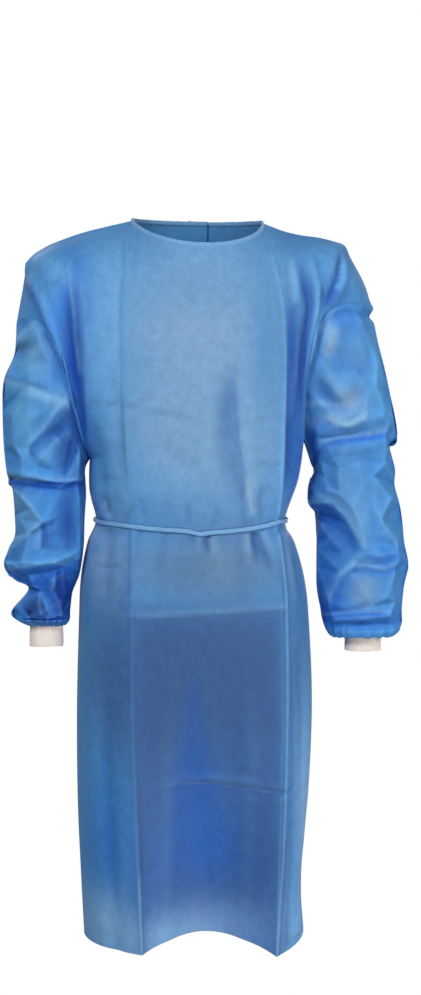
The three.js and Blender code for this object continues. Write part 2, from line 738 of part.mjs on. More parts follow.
function add(name, geometry, finish) {
  const mesh = new THREE.Mesh(geometry, new THREE.MeshStandardMaterial(finish));
  mesh.name = name;
  group.add(mesh);
}

sewn.forEach((piece) => add(piece.name, piece.geometry(), blue));
cuffs.forEach((piece) => add(piece.name, piece.geometry(), white));

const bindingStops = stopsOn(neckPoints(), { lift: -CLOTH / 2, rise: CLEAR + BINDING.height / 2 });
add('neck_binding', strip(bindingStops, { width: BINDING.height, thickness: BINDING.thickness }), paleBlue);

const waistStops = stopsOn(waistPoints(), { lift: WAIST_LIFT, closed: true });
add('waist_tie', strip(waistStops, { ...TIE, closed: true }), paleBlue);

// the knots sit outside the strip that they close, and their two ends hang from just under them
function addKnot(name, stops, thickness, end) {
  const closest = stops.reduce((best, stop) => {
    const away = (each) => Math.abs(each.place.x) - each.place.y;
    return away(stop) < away(best) ? stop : best;
  });
  const y = closest.place.y + thickness / 2 + CLEAR + KNOT.depth / 2;
  const centre = new THREE.Vector3(0, y, closest.place.z);
  add(`${name}_knot`, knot(KNOT, centre), paleBlue);
  const top = centre.clone().setZ(centre.z - KNOT.height / 2 + KNOT_TUCK);
  for (const [side, sign] of [['left', -1], ['right', 1]]) {
    const run = { ...end, top, start: sign * end.start, spread: sign * end.spread };
    add(`${name}_end_${side}`, strip(hangingEnd(run), { ...TIE, outline: SOFT }), paleBlue);
  }
}

addKnot('neck', bindingStops, BINDING.thickness, NECK_END);
addKnot('waist', waistStops, TIE.thickness, WAIST_END);

export default group;
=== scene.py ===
"""Isolation gown, worn with no wearer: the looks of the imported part.

Each cut piece of the cloth is laid out as a fine grid on the gown's form. The pieces are sewn into one
surface, which is smoothed and folded, and then cut into its pieces again, so that the seams stay
closed. The sizes in the tables are millimetres. Everything in the scene is in metres.
"""
from __future__ import annotations

import logging
import math
from dataclasses import dataclass
from enum import Enum
from typing import Callable, Sequence, TypeVar

import bmesh
import bpy
import numpy as np
from mathutils import Matrix, Vector, geometry
from mathutils.bvhtree import BVHTree
from mathutils.kdtree import KDTree


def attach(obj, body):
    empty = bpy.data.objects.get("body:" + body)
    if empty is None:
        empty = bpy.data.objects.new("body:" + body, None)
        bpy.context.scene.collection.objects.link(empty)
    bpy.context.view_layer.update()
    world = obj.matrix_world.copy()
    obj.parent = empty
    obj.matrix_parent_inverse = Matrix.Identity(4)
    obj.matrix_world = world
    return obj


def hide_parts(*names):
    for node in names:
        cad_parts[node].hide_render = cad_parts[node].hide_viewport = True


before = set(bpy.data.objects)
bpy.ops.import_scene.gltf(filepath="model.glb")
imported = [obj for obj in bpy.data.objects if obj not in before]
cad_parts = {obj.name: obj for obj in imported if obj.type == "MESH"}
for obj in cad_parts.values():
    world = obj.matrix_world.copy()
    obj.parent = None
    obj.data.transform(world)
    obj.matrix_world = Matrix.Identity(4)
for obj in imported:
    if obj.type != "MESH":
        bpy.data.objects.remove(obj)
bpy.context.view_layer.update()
LOG = logging.getLogger("gown")
MM = 0.001
BODY = "root"
PIECE = "piece"
CLOTH_MAP = "cloth"
# the cloth's colour attribute: its tone together with painted light and shade of its folds
PAINTED_TONE_AND_LIGHT = "tone_and_painted_light"

Points = tuple[tuple[float, float], ...]  # x and z of each point of a line, in millimetres
Shade = tuple[int, int, int]  # red, green and blue, from 0 to 255
Socket = bpy.types.NodeSocket
Row = TypeVar("Row")


# ---- tables ---------------------------------------------------------------------------------------


class Face(Enum):
    """The two halves of the gown, by the sign of their depth."""

    FRONT = -1
    BACK = 1


class Part(Enum):
    """Where a fold, a facet or a shade lies."""

    BODY = "body"
    LEFT_SLEEVE = "sleeve_left"
    RIGHT_SLEEVE = "sleeve_right"


def table(kind: type[Row], *rows: tuple) -> tuple[Row, ...]:
    """Makes one object of a class from each row of a table."""
    return tuple(kind(*row) for row in rows)


@dataclass(frozen=True)
class Section:
    """Level sections of the body below the armpits. Each field is one value for each section.

    The heights and half widths are those of the side seams, "crease" is half the spacing of the pressed
    creases, "crease_front", "front" and "back" are depths, the lifts say how far a section rises at the
    centre front and at each front crease, and "lap" is the overlap of the back opening each way.
    """

    z_left: np.ndarray
    z_right: np.ndarray
    left: np.ndarray
    right: np.ndarray
    crease: np.ndarray
    crease_front: np.ndarray
    front: np.ndarray
    back: np.ndarray
    lift: np.ndarray
    lift_left: np.ndarray
    lift_right: np.ndarray
    lap: np.ndarray


SECTIONS = np.array([
    [-366, -335, 167, 163, 119, 98, 116, 106, 0, 0, 0, 32],
    [-412, -394, 167, 154, 117, 94, 110, 98, -10, -5, -4, 34],
    [-457, -456, 157, 133, 110, 82, 96, 87, -21, -11, -7, 36],
    [-492, -490, 170, 148, 110, 94, 106, 98, -16, -8, -6, 38],
    [-545, -545, 180, 163, 112, 107, 116, 112, -8, -4, -3, 41],
    [-612, -608, 183, 170, 113, 115, 120, 120, 0, 0, 0, 44],
    [-740, -736, 186, 175, 113, 121, 117, 124, 2, 0, 0, 48],
    [-880, -872, 185, 169, 109, 127, 110, 128, 6, 0, 0, 53],
    [-995, -988, 180, 156, 104, 131, 99, 131, 10, -2, -6, 58],
    [-1088, -1080, 175, 161, 99, 136, 88, 134, 13, -5, -18, 62],
], float)
YOKE_ROWS = 8  # rows of the yoke, from the shoulder seam to the armpit
ROWS_PER_SECTION = 2  # rows for each row of SECTIONS
LAST_ROW = YOKE_ROWS + ROWS_PER_SECTION * (len(SECTIONS) - 1)
WAIST_SECTION = 2  # the row of SECTIONS that the waist tie lies on

NECK_SIDE = (104, 6, 0)  # out from the centre line, depth, height
CREASE_LINES = {
    Face.FRONT: np.array([NECK_SIDE, (114, -66, -62), (120, -92, -150), (120, -99, -250)], float),
    Face.BACK: np.array([NECK_SIDE, (114, 68, -52), (119, 92, -140), (120, 98, -245)], float),
}
CENTRE_LINES = {
    Face.FRONT: np.array([(0, -86, -49), (0, -103, -115), (0, -113, -190), (0, -117, -270)], float),
    Face.BACK: np.array([(0, 78, 6), (0, 96, -70), (0, 106, -160), (0, 108, -255)], float),
}


@dataclass(frozen=True)
class Wrist:
    """The knit cuff's place: where it is, its half sizes and how far the sleeve's end clears it."""

    middle: float
    half_width: float
    half_depth: float
    y: float
    top: float
    height: float
    ease: float


@dataclass(frozen=True)
class Pose:
    """One side of the gown: shoulder seam, armhole, sleeve and cuff.

    A row of "sleeve" joins a point of the outer edge to one of the inner edge: outer x and z, inner x
    and z, half depth and the middle's depth.
    """

    name: str
    sign: int
    part: Part
    shoulder: np.ndarray
    armhole: np.ndarray
    sleeve: np.ndarray
    wrist: Wrist


LEFT = Pose(
    name="left",
    sign=-1,
    part=Part.LEFT_SLEEVE,
    shoulder=np.array([
        NECK_SIDE, (140, 6, -9), (176, 4, -19), (211, 2, -32), (236, 0, -44), (259, 0, -63),
        (268, 0, -105), (278, 0, -160),
    ], float),
    armhole=np.array([
        (278, 0, -160), (263, 38, -154), (248, 58, -160), (232, 68, -178), (216, 72, -208),
        (207, 70, -251), (198, 60, -292), (181, 33, -342), (167, 0, -366),
    ], float),
    sleeve=np.array([
        (281, -205, 173, -377, 66, 0), (297, -246, 174, -385, 64, 0), (299, -292, 173.5, -394, 60, 0),
        (297, -348, 173, -404, 58, -2), (291, -395, 172.5, -416, 55, -4), (284, -412, 173, -429, 52, -5),
        (281, -450, 175, -458, 52, -7), (281, -483, 176, -490, 52, -9), (296, -518, 179, -518, 52, -11),
        (294, -535, 183, -540, 48, -12), (280, -549, 188, -553, 44, -13), (260, -562, 194, -568, 38, -14),
        (285, -594, 197, -592, 44, -16), (281, -607, 199, -608, 40, -17),
    ], float),
    wrist=Wrist(middle=233, half_width=25.5, half_depth=22, y=-18, top=-617, height=31, ease=1.4),
)
RIGHT = Pose(
    name="right",
    sign=1,
    part=Part.RIGHT_SLEEVE,
    shoulder=np.array([
        NECK_SIDE, (135, 6, -11), (163, 5, -17), (193, 3, -21), (225, 0, -32), (242, 0, -57),
        (263, 0, -97), (274, 0, -138),
    ], float),
    armhole=np.array([
        (274, 0, -138), (249, 42, -128), (226, 60, -128), (204, 68, -134), (182, 72, -150),
        (166, 72, -188), (157, 60, -248), (158, 32, -308), (164, 0, -335),
    ], float),
    sleeve=np.array([
        (285, -197, 168, -344, 68, 0), (300, -260, 172, -356, 66, 0), (312, -331, 177, -372, 62, 0),
        (301, -347, 180, -382, 56, -2), (308, -380, 175, -393, 57, -3), (307, -404, 171, -412, 56, -4),
        (315, -436, 172, -434, 57, -6), (319, -466, 184, -452, 56, -8), (321, -493, 184, -491, 55, -10),
        (327, -528, 183, -530, 54, -12), (320, -560, 183, -560, 53, -14), (316, -592, 188, -592, 52, -16),
        (314, -622, 194, -620, 48, -17), (298, -638, 206, -638, 40, -18),
    ], float),
    wrist=Wrist(middle=254, half_width=28, half_depth=23, y=-18, top=-633, height=27, ease=0.6),
)
SLEEVES = {pose.part: pose for pose in (LEFT, RIGHT)}


# ---- curves and grids -------------------------------------------------------------------------------


def along(rows: np.ndarray, t: np.ndarray) -> np.ndarray:
    """Reads a table at places along it, on a smooth curve through its rows.

    Args:
        rows: The table, one row for each section.
        t: Places from 0, the first row, to 1, the last.

    Returns:
        The rows at those places.
    """
    last = len(rows) - 1
    place = np.clip(t, 0, 1) * last
    start = np.minimum(np.floor(place).astype(int), last - 1)
    s = (place - start).reshape(place.shape + (1,) * (rows.ndim - 1))
    before, here, there, after = (rows[np.clip(start + step, 0, last)] for step in (-1, 0, 1, 2))
    bend = 2 * before - 5 * here + 4 * there - after
    twist = 3 * (here - there) + after - before
    return here + 0.5 * s * (there - before + s * (bend + s * twist))


def points(x: np.ndarray, y: np.ndarray, z: np.ndarray) -> np.ndarray:
    """Points from their three coordinates, which may be arrays or numbers."""
    return np.stack(np.broadcast_arrays(x, y, z), axis=-1).astype(float)


def fade(value: np.ndarray, start: float, end: float) -> np.ndarray:
    """0 at start and 1 at end, turning smoothly between them."""
    t = np.clip((value - start) / (end - start), 0, 1)
    return t * t * (3 - 2 * t)


def spaced(length: float, fine: float, coarse: float, reach: float = 14.0) -> np.ndarray:
    """Places from 0 to 1 along a length that are close together at both ends.

    Args:
        length: The length, in millimetres.
        fine: The first step at each end.
        coarse: The step away from the ends.
        reach: How far from an end the steps are still growing.

    Returns:
        The places, with 0 and 1 among them.
    """
    half = [0.0]
    while half[-1] < length / 2:
        half.append(half[-1] + fine + (coarse - fine) * min(half[-1] / reach, 1))
    near = np.array(half) * (length / 2) / half[-1]
    return np.concatenate([near, (length - near[:-1])[::-1]]) / length


def unit(vectors: np.ndarray) -> np.ndarray:
    """Vectors of length 1 in the same directions."""
    return vectors / np.maximum(np.linalg.norm(vectors, axis=-1, keepdims=True), 1e-12)


def eased(values: np.ndarray, times: int) -> np.ndarray:
    """Values along a line with their small unevenness taken out; the ends stay."""
    for _ in range(times):
        values = np.concatenate([values[:1], (values[:-2] + 2 * values[1:-1] + values[2:]) / 4, values[-1:]])
    return values


def superellipse(angle: np.ndarray, fullness: float) -> np.ndarray:
    """Sine of an angle, filled out: 1 follows an ellipse, less is squarer."""
    return np.sign(np.sin(angle)) * np.abs(np.sin(angle)) ** fullness


def arc_lengths(rows: np.ndarray, axis: int) -> np.ndarray:
    """Distance of each point of a grid from the first one, along a row (1) or a column (0)."""
    steps = np.linalg.norm(np.diff(rows, axis=axis), axis=-1)
    start = np.zeros_like(np.take(steps, [0], axis=axis))
    return np.cumsum(np.concatenate([start, steps], axis=axis), axis=axis)


# ---- the gown's form --------------------------------------------------------------------------------


BACK_CREASE_SHARE = 0.93  # depth at the back crease, as a share of the depth at the centre
SIDE_ROUNDNESS = 0.6  # how full the side of a section is between its crease and its seam
NECK_REACH = 3.0  # rows of the yoke that follow the round of the neck edge
NECK_FULLNESS = 0.6  # 0.5 is an ellipse; more is flatter
NECK_LAP = 24.0  # overlap of the opening at the neck, each way from the centre back
LAP_RAISE = 3.6  # how far the upper back panel lies outside the lower one
LAP_MARGIN = 4.0  # it is fully raised this far outside the lower panel's edge
SLEEVE_FULLNESS = 0.86  # 1 is an ellipse; less is squarer


def section_at(row: np.ndarray) -> Section:
    """The sections of the body at panel rows; every row of the yoke gets the first one."""
    values = along(SECTIONS, np.maximum(row - YOKE_ROWS, 0) / (LAST_ROW - YOKE_ROWS))
    return Section(*np.moveaxis(values, -1, 0))


def crease_at(pose: Pose, face: Face, row: np.ndarray) -> np.ndarray:
    """Points of a pressed crease at panel rows."""
    section = section_at(row)
    depth = -section.crease_front if face is Face.FRONT else section.back * BACK_CREASE_SHARE
    lift = section.lift_left if pose is LEFT else section.lift_right
    x = pose.sign * section.crease
    on_body = points(x, depth, level(section, x, face, lift))
    yoke = CREASE_LINES[face] * (pose.sign, 1, 1)
    first = on_body_start(lambda at: crease_at(pose, face, at)) if np.any(row < YOKE_ROWS) else None
    if first is None:
        return on_body
    in_yoke = along(np.vstack([yoke, first]), row / YOKE_ROWS)
    return np.where((row < YOKE_ROWS)[..., None], in_yoke, on_body)


def centre_at(face: Face, row: np.ndarray) -> np.ndarray:
    """Points of the centre front or centre back line at panel rows."""
    section = section_at(row)
    depth = -section.front if face is Face.FRONT else section.back
    on_body = points(0, depth, level(section, 0, face, section.lift))
    if not np.any(row < YOKE_ROWS):
        return on_body
    first = on_body_start(lambda at: centre_at(face, at))
    in_yoke = along(np.vstack([CENTRE_LINES[face], first]), row / YOKE_ROWS)
    return np.where((row < YOKE_ROWS)[..., None], in_yoke, on_body)


def on_body_start(line: Callable[[np.ndarray], np.ndarray]) -> np.ndarray:
    """The point of a line at the armpit row, where the body's sections start."""
    return line(np.array([float(YOKE_ROWS)]))


def level(section: Section, x: np.ndarray, face: Face, lift: np.ndarray) -> np.ndarray:
    """Height of a section at x, with its rise there on the front."""
    across = (x + section.left) / (section.left + section.right)
    height = section.z_left + (section.z_right - section.z_left) * across
    return height + (lift if face is Face.FRONT else 0)


def side_of_body(pose: Pose, face: Face, row: np.ndarray, t: np.ndarray) -> np.ndarray:
    """Points between a side seam (t = 0) and a pressed crease (t = 1), below the armpit."""
    section = section_at(row)
    width = section.left if pose is LEFT else section.right
    height = section.z_left if pose is LEFT else section.z_right
    seam = points(pose.sign * width, 0, height)
    crease = crease_at(pose, face, np.maximum(row, YOKE_ROWS))
    middle_height = (seam[..., 2] + crease[..., 2]) / 2
    bulge = points(seam[..., 0], crease[..., 1] * SIDE_ROUNDNESS, middle_height)
    t = t[..., None]
    return (1 - t) ** 2 * seam + 2 * t * (1 - t) * bulge + t * t * crease


def armhole_at(pose: Pose, face: Face, v: np.ndarray) -> np.ndarray:
    """Points of half an armhole, from the shoulder seam (v = 0) to the armpit (v = 1)."""
    return along(pose.armhole, v) * (pose.sign, face.value, 1)


def side_of_yoke(pose: Pose, face: Face, u: np.ndarray, v: np.ndarray) -> np.ndarray:
    """Points between the armhole (u = 0) and the crease (u = 1): a surface through four edges."""
    armpit_row = np.full_like(v, float(YOKE_ROWS))
    zero, one = np.zeros_like(u), np.ones_like(u)
    top = along(pose.shoulder, 1 - u) * (pose.sign, 1, 1)
    bottom = side_of_body(pose, face, armpit_row, u)
    outer, inner = armhole_at(pose, face, v), crease_at(pose, face, v * YOKE_ROWS)
    corners = (
        along(pose.shoulder, one) * (pose.sign, 1, 1),
        along(pose.shoulder, zero) * (pose.sign, 1, 1),
        side_of_body(pose, face, armpit_row, zero),
        side_of_body(pose, face, armpit_row, one),
    )
    u, v = u[..., None], v[..., None]
    edges = (1 - v) * top + v * bottom + (1 - u) * outer + u * inner
    upper = (1 - u) * corners[0] + u * corners[1]
    lower = (1 - u) * corners[2] + u * corners[3]
    return edges - (1 - v) * upper - v * lower


def side_at(pose: Pose, face: Face, row: np.ndarray, across: np.ndarray) -> np.ndarray:
    """Points of a panel from its armhole or side seam (across = 0) to its crease (across = 1)."""
    in_yoke = side_of_yoke(pose, face, across, np.clip(row / YOKE_ROWS, 0, 1))
    on_body = side_of_body(pose, face, row, across)
    return np.where((row < YOKE_ROWS)[..., None], in_yoke, on_body)


def middle_at(pose: Pose, face: Face, row: np.ndarray, past: np.ndarray, end: np.ndarray) -> np.ndarray:
    """Points of a panel from a pressed crease (past = 0) to x = end (past = 1).

    Args:
        pose: The side that the crease is on.
        face: Front or back.
        row: Panel rows.
        past: Places between the crease and the end.
        end: x of the end at each row, in millimetres.

    Returns:
        The points, in millimetres.
    """
    crease, centre = crease_at(pose, face, row), centre_at(face, row)
    reach = crease[..., 0]
    arc = reach * np.cos(past * np.arccos(end / reach))
    straight = reach + (end - reach) * past
    roundness = np.maximum(1 - row / NECK_REACH, 0)
    x = straight + (arc - straight) * roundness
    square = np.minimum((x / reach) ** 2, 1)
    share = square + ((1 - (1 - square) ** NECK_FULLNESS) - square) * roundness
    result = centre + (crease - centre) * share[..., None]
    result[..., 0] = x
    return result


def lap_at(row: np.ndarray) -> np.ndarray:
    """Overlap of the back opening at panel rows, each way from the centre back."""
    lap = section_at(row).lap
    return np.where(row < YOKE_ROWS, NECK_LAP + (lap - NECK_LAP) * row / YOKE_ROWS, lap)


def ring(pose: Pose, row: Sequence[float], angle: np.ndarray) -> np.ndarray:
    """A ring of a sleeve.

    Args:
        pose: The sleeve's side.
        row: Outer x and z, inner x and z, half depth and the middle's depth.
        angle: Angles from the outer edge, the front half first.

    Returns:
        The ring's points, in millimetres.
    """
    outer_x, outer_z, inner_x, inner_z, half_depth, y = row
    share = 0.5 - 0.5 * np.cos(angle)
    swell = superellipse(angle, SLEEVE_FULLNESS)
    x = pose.sign * (outer_x + (inner_x - outer_x) * share)
    return points(x, y - half_depth * swell, outer_z + (inner_z - outer_z) * share)


# ---- grids of the pieces ----------------------------------------------------------------------------


# places along and across the pieces, with their first and their full step
TO_ARMPIT = spaced(350, 1.8, 4.0)
YOKE_STEPS = len(TO_ARMPIT) - 1
TO_WAIST = spaced(91, 2.2, 3.8)
TO_HEM = spaced(631, 2.0, 3.9)
SIDE_PLACES = spaced(128, 1.5, 4.0)
FRONT_PLACES = spaced(238, 1.8, 4.2) * 2 - 1
LAP_PLACES = spaced(150, 1.8, 4.2)
SLEEVE_PLACES = spaced(500, 1.8, 2.3)


def rows_by_height() -> np.ndarray:
    """The panel rows with those of the body spread evenly over its height."""
    heights = np.concatenate([[0], np.cumsum(-np.diff(SECTIONS[:, 0]))])
    knots = YOKE_ROWS + ROWS_PER_SECTION * np.arange(len(SECTIONS))
    waist = heights[WAIST_SECTION]
    return np.concatenate([
        YOKE_ROWS * TO_ARMPIT[:-1],
        np.interp(waist * TO_WAIST[:-1], heights, knots),
        np.interp(waist + (heights[-1] - waist) * TO_HEM, heights, knots),
    ])


ROWS = rows_by_height()


def front_grid() -> np.ndarray:
    """Points of the front, from its left side seam to its right one."""
    row, side = np.meshgrid(ROWS, SIDE_PLACES, indexing="ij")
    left = side_at(LEFT, Face.FRONT, row, side)
    right = side_at(RIGHT, Face.FRONT, row, side)[:, ::-1]
    row, across = np.meshgrid(ROWS, FRONT_PLACES[1:-1], indexing="ij")
    zero = np.zeros_like(row)
    on_left = middle_at(LEFT, Face.FRONT, row, 1 - np.abs(across), zero)
    on_right = middle_at(RIGHT, Face.FRONT, row, 1 - np.abs(across), zero)
    middle = np.where((across <= 0)[..., None], on_left, on_right)
    return np.concatenate([left, middle, right], axis=1) * MM


def back_grid(pose: Pose) -> np.ndarray:
    """Points of a back panel, from its side seam to its edge of the back opening."""
    row, side = np.meshgrid(ROWS, SIDE_PLACES, indexing="ij")
    near = side_at(pose, Face.BACK, row, side)
    row, past = np.meshgrid(ROWS, LAP_PLACES[1:], indexing="ij")
    lap = lap_at(row)
    far = middle_at(pose, Face.BACK, row, past, -pose.sign * lap)
    if pose is RIGHT:
        crease = crease_at(RIGHT, Face.BACK, row)[..., 0]
        far[..., 1] += LAP_RAISE * fade(crease - far[..., 0], 0, crease - lap - LAP_MARGIN)
    return np.concatenate([near, far], axis=1) * MM


def sleeve_grid(pose: Pose) -> np.ndarray:
    """Points of a sleeve, ring by ring from its armhole to its end; the last column repeats the first."""
    around = np.concatenate([TO_ARMPIT, 2 - TO_ARMPIT[-2::-1]])
    half = armhole_at(pose, Face.FRONT, TO_ARMPIT)
    armhole = np.concatenate([half, armhole_at(pose, Face.BACK, TO_ARMPIT)[-2::-1]])
    wrist = pose.wrist
    reach, depth = wrist.half_width + wrist.ease, wrist.half_depth + wrist.ease
    end = (wrist.middle + reach, wrist.top, wrist.middle - reach, wrist.top, depth, wrist.y)
    rings = [ring(pose, row, around * math.pi) for row in (*pose.sleeve, end)]
    return along(np.array([armhole, *rings]), SLEEVE_PLACES) * MM


def flat_layout(grid: np.ndarray, middle: int) -> np.ndarray:
    """Where each point of a piece lies on the flat cloth, in metres.

    Args:
        grid: The piece's points.
        middle: The column that is laid straight.

    Returns:
        Two coordinates for each point: across the cloth and along it.
    """
    across = arc_lengths(grid, 1)
    down = arc_lengths(grid, 0)
    return np.stack([across - across[:, middle:middle + 1], down - down[-1:]], axis=-1)


# ---- sewing -----------------------------------------------------------------------------------------


WELD = 2e-5  # points of two pieces that are this near are one point of their seam
STRIP_WELD = 1e-6
CUFF_WELD = 2e-6


def lay_grid(bm: bmesh.types.BMesh, grid: np.ndarray, flat: np.ndarray) -> set[bmesh.types.BMFace]:
    """Adds a smooth grid of faces.

    Args:
        bm: The mesh that it is added to, which has the cloth map.
        grid: The grid's points, row by row.
        flat: Two coordinates for each point: where it lies on the flat cloth.

    Returns:
        The grid's faces.
    """
    rows, columns = grid.shape[:2]
    layer = bm.loops.layers.uv[CLOTH_MAP]
    made = bmesh.ops.create_grid(bm, x_segments=columns - 1, y_segments=rows - 1, size=0.5)
    place = {
        vert: (round((0.5 - vert.co.y) * (rows - 1)), round((vert.co.x + 0.5) * (columns - 1)))
        for vert in made["verts"]
    }
    faces = {face for vert in place for face in vert.link_faces}
    for face in faces:
        face.smooth = True
        for loop in face.loops:
            loop[layer].uv = flat[place[loop.vert]]
    for vert, at in place.items():
        vert.co = grid[at]
    return faces


def tube_map(rings: np.ndarray, lengths: np.ndarray) -> np.ndarray:
    """The cloth map of a tube: its round and its length at each point of its rings."""
    around = arc_lengths(rings[0], 0)
    return np.stack(np.meshgrid(around, lengths), axis=-1)


def to_mesh(bm: bmesh.types.BMesh, name: str) -> bpy.types.Mesh:
    """Hands over what was built as a mesh of this name."""
    mesh = bpy.data.meshes.new(name)
    bm.to_mesh(mesh)
    bm.free()
    return mesh


class Sewing:
    """The cut pieces of the gown, sewn into one surface while it is shaped."""

    def __init__(self) -> None:
        """Starts with no cloth."""
        self.names: list[str] = []
        self.bm = bmesh.new()
        self.piece = self.bm.faces.layers.int.new(PIECE)
        self.bm.loops.layers.uv.new(CLOTH_MAP)
        self.mesh: bpy.types.Mesh | None = None

    def add(self, name: str, grid: np.ndarray, middle: int) -> None:
        """Lays a piece on the gown's form.

        Args:
            name: The piece's name.
            grid: Its points, row by row.
            middle: The column that is straight on the flat cloth.
        """
        for face in lay_grid(self.bm, grid, flat_layout(grid, middle)):
            face[self.piece] = len(self.names)
        self.names.append(name)

    def sew(self) -> None:
        """Joins the pieces at their seams and turns the surface's faces outwards."""
        bmesh.ops.remove_doubles(self.bm, verts=self.bm.verts, dist=WELD)
        bmesh.ops.recalc_face_normals(self.bm, faces=self.bm.faces)
        front = [face for face in self.bm.faces if face[self.piece] == 0]
        if sum(face.normal.y for face in front) > 0:
            bmesh.ops.reverse_faces(self.bm, faces=self.bm.faces)
        self.mesh = to_mesh(self.bm, "sewn")

    def places(self) -> np.ndarray:
        """The surface's points, in metres."""
        result = np.empty(len(self.mesh.vertices) * 3)
        self.mesh.vertices.foreach_get("co", result)
        return result.reshape(-1, 3)

    def move(self, places: np.ndarray) -> None:
        """Puts the surface's points at these places."""
        self.mesh.vertices.foreach_set("co", places.ravel())
        self.mesh.update()

    def normals(self) -> np.ndarray:
        """The surface's outward directions at its points."""
        result = np.empty(len(self.mesh.vertices) * 3)
        self.mesh.vertex_normals.foreach_get("vector", result)
        return result.reshape(-1, 3)

    def edges(self) -> np.ndarray:
        """The two points of each edge."""
        result = np.empty(len(self.mesh.edges) * 2, np.int64)
        self.mesh.edges.foreach_get("vertices", result)
        return result.reshape(-1, 2)

    def piece_of_points(self) -> np.ndarray:
        """For each piece a row that is 1 at its points and 0 elsewhere."""
        loops = np.empty(len(self.mesh.loops), np.int64)
        self.mesh.loops.foreach_get("vertex_index", loops)
        pieces = np.empty(len(self.mesh.polygons), np.int32)
        self.mesh.attributes[PIECE].data.foreach_get("value", pieces)
        sizes = np.empty(len(self.mesh.polygons), np.int32)
        self.mesh.polygons.foreach_get("loop_total", sizes)
        of_loop = np.repeat(pieces, sizes)
        result = np.zeros((len(self.names), len(self.mesh.vertices)))
        for number in range(len(self.names)):
            result[number, loops[of_loop == number]] = 1
        return result

    def cut(self, name: str) -> bpy.types.Mesh:
        """A mesh of one piece, cut out of the sewn surface."""
        number = self.names.index(name)
        bm = bmesh.new()
        bm.from_mesh(self.mesh)
        layer = bm.faces.layers.int[PIECE]
        others = [face for face in bm.faces if face[layer] != number]
        bmesh.ops.delete(bm, geom=others, context="FACES")
        return to_mesh(bm, name)


class Surface:
    """Numbers about the sewn surface that smoothing and folding need."""

    def __init__(self, sewing: Sewing) -> None:
        """Reads the surface's edges.

        Args:
            sewing: The sewn gown.
        """
        self.sewing = sewing
        self.edges = sewing.edges()
        self.count = len(sewing.mesh.vertices)
        ends = self.edges.ravel()
        self.degree = np.bincount(ends, minlength=self.count).astype(float)
        faces_at_edge = self.boundary_edges()
        self.rim = np.zeros(self.count)
        self.rim[self.edges[faces_at_edge].ravel()] = 1

    def boundary_edges(self) -> np.ndarray:
        """Which edges have cloth on one side only."""
        mesh = self.sewing.mesh
        loop_edges = np.empty(len(mesh.loops), np.int64)
        mesh.loops.foreach_get("edge_index", loop_edges)
        return np.bincount(loop_edges, minlength=len(mesh.edges)) == 1

    def average(self, values: np.ndarray) -> np.ndarray:
        """The mean of each point's neighbours."""
        wide = values.reshape(self.count, -1)
        result = np.empty_like(wide)
        a, b = self.edges.T
        for column in range(wide.shape[1]):
            value = wide[:, column]
            total = np.bincount(a, value[b], self.count) + np.bincount(b, value[a], self.count)
            result[:, column] = total / self.degree
        return result.reshape(values.shape)

    def soften(self, values: np.ndarray, times: int) -> np.ndarray:
        """Values spread into their surroundings."""
        for _ in range(times):
            values = 0.5 * values + 0.5 * self.average(values)
        return values

    def smooth(self, times: int, share: np.ndarray) -> None:
        """Rounds kinks off without shrinking the surface.

        Args:
            times: How many passes.
            share: How much each point may move, from 0 to 1.
        """
        places = self.sewing.places()
        share = share[:, None]
        for _ in range(times):
            for strength in (0.5, -0.52):
                places = places + strength * share * (self.average(places) - places)
        self.sewing.move(places)


# ---- folds ------------------------------------------------------------------------------------------


def beside(line: Points, x: np.ndarray, z: np.ndarray) -> tuple[np.ndarray, np.ndarray, np.ndarray]:
    """Where points lie beside a line, in the front view.

    Args:
        line: The line's points, x and z in millimetres.
        x: The points' x, in millimetres.
        z: The points' z.

    Returns:
        How far off they are, on which side (1 is right of a line that runs up), and the share of the
        line's length at which they are.
    """
    stops = np.array(line, float)
    lengths = np.linalg.norm(np.diff(stops, axis=0), axis=1)
    best = np.full(x.shape, np.inf)
    side = np.zeros(x.shape)
    share = np.zeros(x.shape)
    passed = 0.0
    for start, end, length in zip(stops[:-1], stops[1:], lengths):
        run = (end - start) / length
        dx, dz = x - start[0], z - start[1]
        here = np.clip(dx * run[0] + dz * run[1], 0, length)
        away = np.hypot(dx - here * run[0], dz - here * run[1])
        nearer = away < best
        best = np.where(nearer, away, best)
        side = np.where(nearer, np.sign(dx * run[1] - dz * run[0]), side)
        share = np.where(nearer, (passed + here) / lengths.sum(), share)
        passed += length
    return best, side, share


# tapers: the shares of a line's length over which its start and its end fade
FROM_TIE = (0.02, 0.6)
FROM_SEAM = (0.02, 0.5)
FROM_EDGE = (0.02, 0.1)
CUT_OFF = (0.02, 0.02)
WHOLE = (0, 0)
INTO_TIE = (0.02, 0)
INTO_HEM = (0.4, 0)
SHORTEST_TAPER = 1e-3
ROUND_FALL = 1.5  # how fast a round fold falls off
SHARP_FALL = 1.6  # the same for a sharp one, as a power


def tapered(share: np.ndarray, taper: tuple[float, float]) -> np.ndarray:
    """How much of something is left at shares of its line, which fades at both ends."""
    start, end = (max(each, SHORTEST_TAPER) for each in taper)
    return fade(share, 0, start) * fade(1 - share, 0, end)


